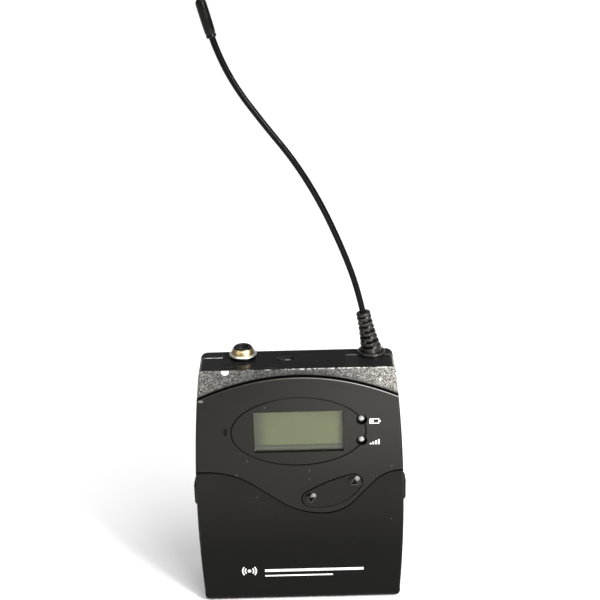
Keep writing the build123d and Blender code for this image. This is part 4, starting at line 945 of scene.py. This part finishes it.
def pad_rings(depth, rise, steps=14, shoulder=0.10):
    """Side wall up from -depth, a shoulder that is a quarter of an ellipse, then a level face:
    on the shoulder the scale is 1 less its width times (1 - cos), and the height rise times sin."""
    turn = np.linspace(0, np.pi / 2, 7)
    bend = np.stack([1 - shoulder * (1 - np.cos(turn)), rise * np.sin(turn)], axis=-1)
    face = np.linspace(1 - shoulder, 0, steps)[1:]
    level = np.stack([face, np.full(len(face), rise)], axis=-1)
    return np.concatenate([[(0.0, -depth), (1.0, -depth)], bend, level])


# %% Mute knob
knob_place = middle("mute_knob")
knob_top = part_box("mute_knob")[1].z
KNOB_DEPTH = 2.0
knob_material = plastic("knob_plastic", (0.010, 0.010, 0.010), 0.26, wear=0.15, edge=0.0001,
                        specular=0.3)
knob_grid = loft(superellipse(1.2, 1.2, 2, 48), pad_rings(KNOB_DEPTH, 0.25, 22),
                 lambda a, b, s: 0.12 * np.cos(2 * np.pi * a / 0.75) * np.clip(4 * (0.9 - s), 0, 1)
                 * (s > 0.0) - 0.12)
knob_origin = Vector((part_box("mute_knob")[0].x + 1.5 * MM, knob_place.y, knob_top - 0.25 * MM))
knob = piece_from_grids("mute_slide_knob", [placed(knob_grid, knob_origin)], knob_material, "mute")
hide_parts("mute_knob")

# %% Catches
catch_material = plastic("catch_grip", (0.007, 0.007, 0.007), 0.38, wear=0.3, specular=0.12)
CATCH_TRAVEL = 1.0
CATCH_ROOM = 0.1
PAD_RISE = 0.4
RIDGE = 0.16


def catch_pad(name, node, side, body):
    """Squeeze pad: a squared outline in Y and Z, lofted outwards along X, ridged across Z. It ends
    short of its leaf spring by the catch's travel and a little room."""
    low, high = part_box(node)
    outer = high.x if side > 0 else low.x
    spring_tip = max(abs(corner.x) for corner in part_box(node.replace("catch", "catch_spring")))
    depth = (abs(outer) - spring_tip) / MM - PAD_RISE - RIDGE - CATCH_TRAVEL - CATCH_ROOM
    print(name, "goes", round(depth, 2), "mm in")
    middle_yz = (low + high) / 2
    outline = superellipse(2.45, 3.65, 7, 96)
    grid = loft(outline, pad_rings(depth, PAD_RISE, 26),
                lambda a, b, s: RIDGE * np.cos(2 * np.pi * b / 1.25) * np.clip(6 * (0.93 - s), 0, 1)
                - RIDGE)
    turn = np.stack([side * (grid[..., 2] + abs(outer) / MM - PAD_RISE),
                     side * grid[..., 0] + middle_yz.y / MM,
                     grid[..., 1] + middle_yz.z / MM], axis=-1) * MM
    made = piece_from_grids(name, [turn], catch_material, body)
    return made


left_pad = catch_pad("catch_pad_left", "catch_left", -1, "left_catch")
right_pad = catch_pad("catch_pad_right", "catch_right", 1, "right_catch")
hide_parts("catch_left")
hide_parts("catch_right")

# %% [markdown]
# ## Cell springs
#
# Each minus contact is a conical spring of round wire. It shows when the cover is open. Its
# line is a helix whose radius shrinks towards the cell, and the tube maker carries the wire.

# %% Springs
springs = []
spring_low, spring_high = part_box("cell_springs")
for side, node in ((-1, "battery_lower"), (1, "battery_upper")):
    wall_x = spring_low.x if side < 0 else spring_high.x
    cell_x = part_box(node)[0].x if side < 0 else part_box(node)[1].x
    share = np.linspace(0, 1, 140)
    winding = 2 * np.pi * 3.2 * share
    reach = (3.0 - 1.1 * share) * MM
    centre = middle(node)
    spring_x = wall_x + (cell_x - wall_x) * share * 0.92 - side * 0.25 * MM
    helix = np.stack([spring_x, centre.y + reach * np.cos(winding),
                      centre.z + reach * np.sin(winding)], axis=-1)
    springs.append(tube(helix, 0.25 * MM, 8, (1, 0, 0)))
spring_wires = piece_from_grids("spring_wires", springs, nickel, "case")
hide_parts("cell_springs")

# %% [markdown]
# ## Window pane
#
# The pane is a thin rounded plate of clear plastic, lofted from a rounded rectangle. A closed
# solid with a real thickness bends light correctly at both faces.


# %% Pane
def rounded_rectangle(half_a, half_b, corner, steps=8):
    """Rectangle whose corners are quarter circles: each corner's arc about its own centre."""
    quarter = np.linspace(0, np.pi / 2, steps)
    arcs = []
    for turn, (sa, sb) in enumerate(((1, 1), (-1, 1), (-1, -1), (1, -1))):
        angle = quarter + turn * np.pi / 2
        arcs.append(np.stack([sa * (half_a - corner) + corner * np.cos(angle),
                              sb * (half_b - corner) + corner * np.sin(angle)], axis=-1))
    return np.concatenate(arcs)


pane_low, pane_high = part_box("display_window")
pane_half = (pane_high - pane_low) / 2 / MM
pane_middle = (pane_high + pane_low) / 2 / MM
PANE_T = 0.36
glass = Finish("window_clear", (0.93, 0.95, 0.92), roughness=0.04, transmission_weight=1.0, ior=1.36)
glass_material = glass.set(Normal=glass.bump(glass.noise(0.006, 2), 0.00001))
pane_grid = loft(rounded_rectangle(pane_half.x, pane_half.z, 0.5),
                 [(0.0, 0.0), (1.0, 0.0), (1.0, PANE_T - 0.06), (0.997, PANE_T), (0.0, PANE_T)])
pane_points = np.stack([pane_grid[..., 0] + pane_middle.x,
                        pane_low.y / MM + PANE_T - pane_grid[..., 2],
                        pane_grid[..., 1] + pane_middle.z], axis=-1) * MM
pane = piece_from_grids("window_pane", [pane_points], glass_material, "case")
pane.data.shade_flat()
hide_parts("display_window")

# %% [markdown]
# ## Printed signs
#
# The white print is a hair-thin film on the plastic, in simple signs with no lettering. A bar is
# a grid between two X and two Z. Bars make a battery sign and a level meter beside the two
# indicators and two stripes on the cover. A dot with arcs on both sides is a general radio sign.

# %% Print on the front face
PRINT_LIFT = 0.02 * MM
PRINT_LINE = 0.28
ink = Finish("white_print", (0.72, 0.72, 0.70), specular_ior_level=0.3)
ink_gaps = ink.noise(0.00035, 3).rise(0.30, 0.42)
white_print = ink.set(Base_Color=ink.mix(ink_gaps, (0.42, 0.42, 0.40), (0.80, 0.80, 0.78)),
                      Roughness=ink.noise(0.001) * 0.2 + 0.5)


def on_face(x, z):
    """Points at X and Z in mm, laid a hair in front of the flat of the front face."""
    x, z = np.broadcast_arrays(x, z)
    return np.stack([x, np.full(x.shape, (panel_front - PRINT_LIFT) / MM), z], axis=-1) * MM


def bar_film(x0, x1, z0, z1):
    """Flat bar between two X and two Z, in mm."""
    return on_face(np.linspace(x0, x1, 3)[:, None], np.linspace(z0, z1, 3)[None, :])


def arc_film(centre_x, centre_z, r0, r1, a0, a1, steps=24):
    """Flat sector: radius runs from r0 to r1 and the angle from a0 to a1, in mm and degrees."""
    radius = np.linspace(r0, r1, 2)[:, None]
    angle = np.radians(np.linspace(a0, a1, steps))[None, :]
    return on_face(centre_x + radius * np.cos(angle), centre_z + radius * np.sin(angle))


def battery_sign(x, z, width=2.9, height=1.7):
    """Outline of four bars, a stub at the right and a short charge bar inside."""
    right, top, line = x + width, z + height, PRINT_LINE
    return [bar_film(x, right, z, z + line), bar_film(x, right, top - line, top),
            bar_film(x, x + line, z + line, top - line),
            bar_film(right - line, right, z + line, top - line),
            bar_film(right, right + 0.4, z + 0.55, top - 0.55),
            bar_film(x + 0.5, x + 1.2, z + 0.5, top - 0.5)]


def level_sign(x, z):
    """Four upright bars, each taller than the one before."""
    return [bar_film(x + 0.8 * k, x + 0.8 * k + 0.5, z, z + 0.5 + 0.4 * k) for k in range(4)]


def wave_sign(x, z):
    """A dot with two arcs on each side."""
    films = [arc_film(x, z, 0.0, 0.55, 0, 360)]
    for r in (1.1, 1.9):
        films.append(arc_film(x, z, r, r + 0.42, -42, 42))
        films.append(arc_film(x, z, r, r + 0.42, 138, 222))
    return films


def signed(name, films, body):
    """Films in white print as one piece."""
    return piece_from_grids(name, films, white_print, body, closed=False)


signed("print_battery_sign", battery_sign(20.9, 61.4), "case")
signed("print_level_sign", level_sign(21.0, 54.5), "case")
signed("print_wave_sign", wave_sign(-16.3, 11.05), "cover")
signed("print_stripes", [bar_film(-11.5, 19.0, 10.6, 11.5), bar_film(-11.5, 9.5, 8.9, 9.4)],
       "cover")
print("signs printed")

# %% [markdown]
# ## Rocker arrows
#
# The rocker's arrows are triangles let into its two domes. A dark film paints the shade inside each sunk
# triangle and a lighter film round it paints the highlight on its lit walls; the domes carry a painted
# highlight up and right and painted shade at their lower left foot.

# %% Rocker arrows
rocker_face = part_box("rocker_key")[0].y
DOME_HALF = 2.05
DOME_HEIGHT = 0.60
ARROW_PLACES = {"up": (16.41, 42.30, 1), "down": (3.25, 36.71, -1)}
arrow_painted_shade = plastic("arrow_shade_film", (0.002, 0.002, 0.002), 0.5, wear=0.0, dusty=0.0, specular=0.05)
arrow_highlight_film = plastic("arrow_highlight_paint", (0.060, 0.058, 0.052), 0.3, wear=0.0, dusty=0.0)


def dome_depth(r):
    """Depth below the dome's tip: its height times the share of the radius to the power 4."""
    return DOME_HEIGHT * (r / DOME_HALF) ** 4


def dome_cap(x, z):
    """A pressed dome: rings of growing radius, each as deep as the dome is there, and last a
    point behind them all that closes its back."""
    r = np.append(np.linspace(0, DOME_HALF, 26), 0.0)[:, None]
    depth = dome_depth(r)
    depth[-1] = DOME_HEIGHT + 0.1
    turn = np.linspace(0, 2 * np.pi, 48, endpoint=False)[None, :]
    y = rocker_face / MM + depth + 0 * turn
    return np.stack([x + r * np.cos(turn), y, z + r * np.sin(turn)], axis=-1) * MM


def arrow_film(x, z, way, size=1.0, lift=0.015):
    """Triangle as a grid: each row runs between two sides, from the flat foot to the tip, and
    every point lies a lift above the dome."""
    v = np.linspace(0, 1, 8)[:, None]
    u = np.linspace(-1, 1, 9)[None, :]
    px = u * (1 - v) * 1.3 * size
    pz = way * (v * 2.0 - 0.75) * size - 0.15 + 0 * px
    y = rocker_face / MM + dome_depth(np.hypot(px, pz)) - lift
    return np.stack([px + x, y, pz + z], axis=-1) * MM


def dome_painted_light(made, tone):
    """Painted highlight: a bright patch up and right on each dome; painted shade at its lower left foot.
    """
    for x, z, way in ARROW_PLACES.values():
        dome_highlight = blot(made, (x + 0.78) * MM, (z + 1.00) * MM, 0.34 * MM, 0.28 * MM, 11.0)
        ring = blot(made, x * MM, z * MM, 1.55 * MM, 1.55 * MM, 0.25)
        # Painted shade at each dome's lower left foot.
        low = (made.x - x * MM + (made.z - z * MM)).rise(0.2 * MM, -1.6 * MM)
        tone = made.mix((1 - ring) * low * 0.9, tone, (0.001, 0.001, 0.001))
        # Painted highlight up and right on each dome.
        tone = made.mix(dome_highlight * dome_highlight * 0.9, tone, (0.20, 0.195, 0.175))
    return tone


dome_plastic = plastic("dome_plastic", (0.0075, 0.0072, 0.0062), 0.22, grain=0.0003, wear=0.0,
                       dusty=0.0, specular=0.2, marks=dome_painted_light)
domes = [dome_cap(x, z) for x, z, way in ARROW_PLACES.values()]
piece_from_grids("rocker_domes", domes, dome_plastic, "rocker")
# Painted highlight: a lighter film round each triangle stands for its lit walls.
edges = [arrow_film(*place, 1.14, 0.010) for place in ARROW_PLACES.values()]
piece_from_grids("rocker_arrow_edges", edges, arrow_highlight_film, "rocker", closed=False)
# Painted shade: a dark film stands for the shade inside each sunk triangle.
arrows = [arrow_film(*place, 0.92, 0.020) for place in ARROW_PLACES.values()]
piece_from_grids("rocker_arrows", arrows, arrow_painted_shade, "rocker", closed=False)
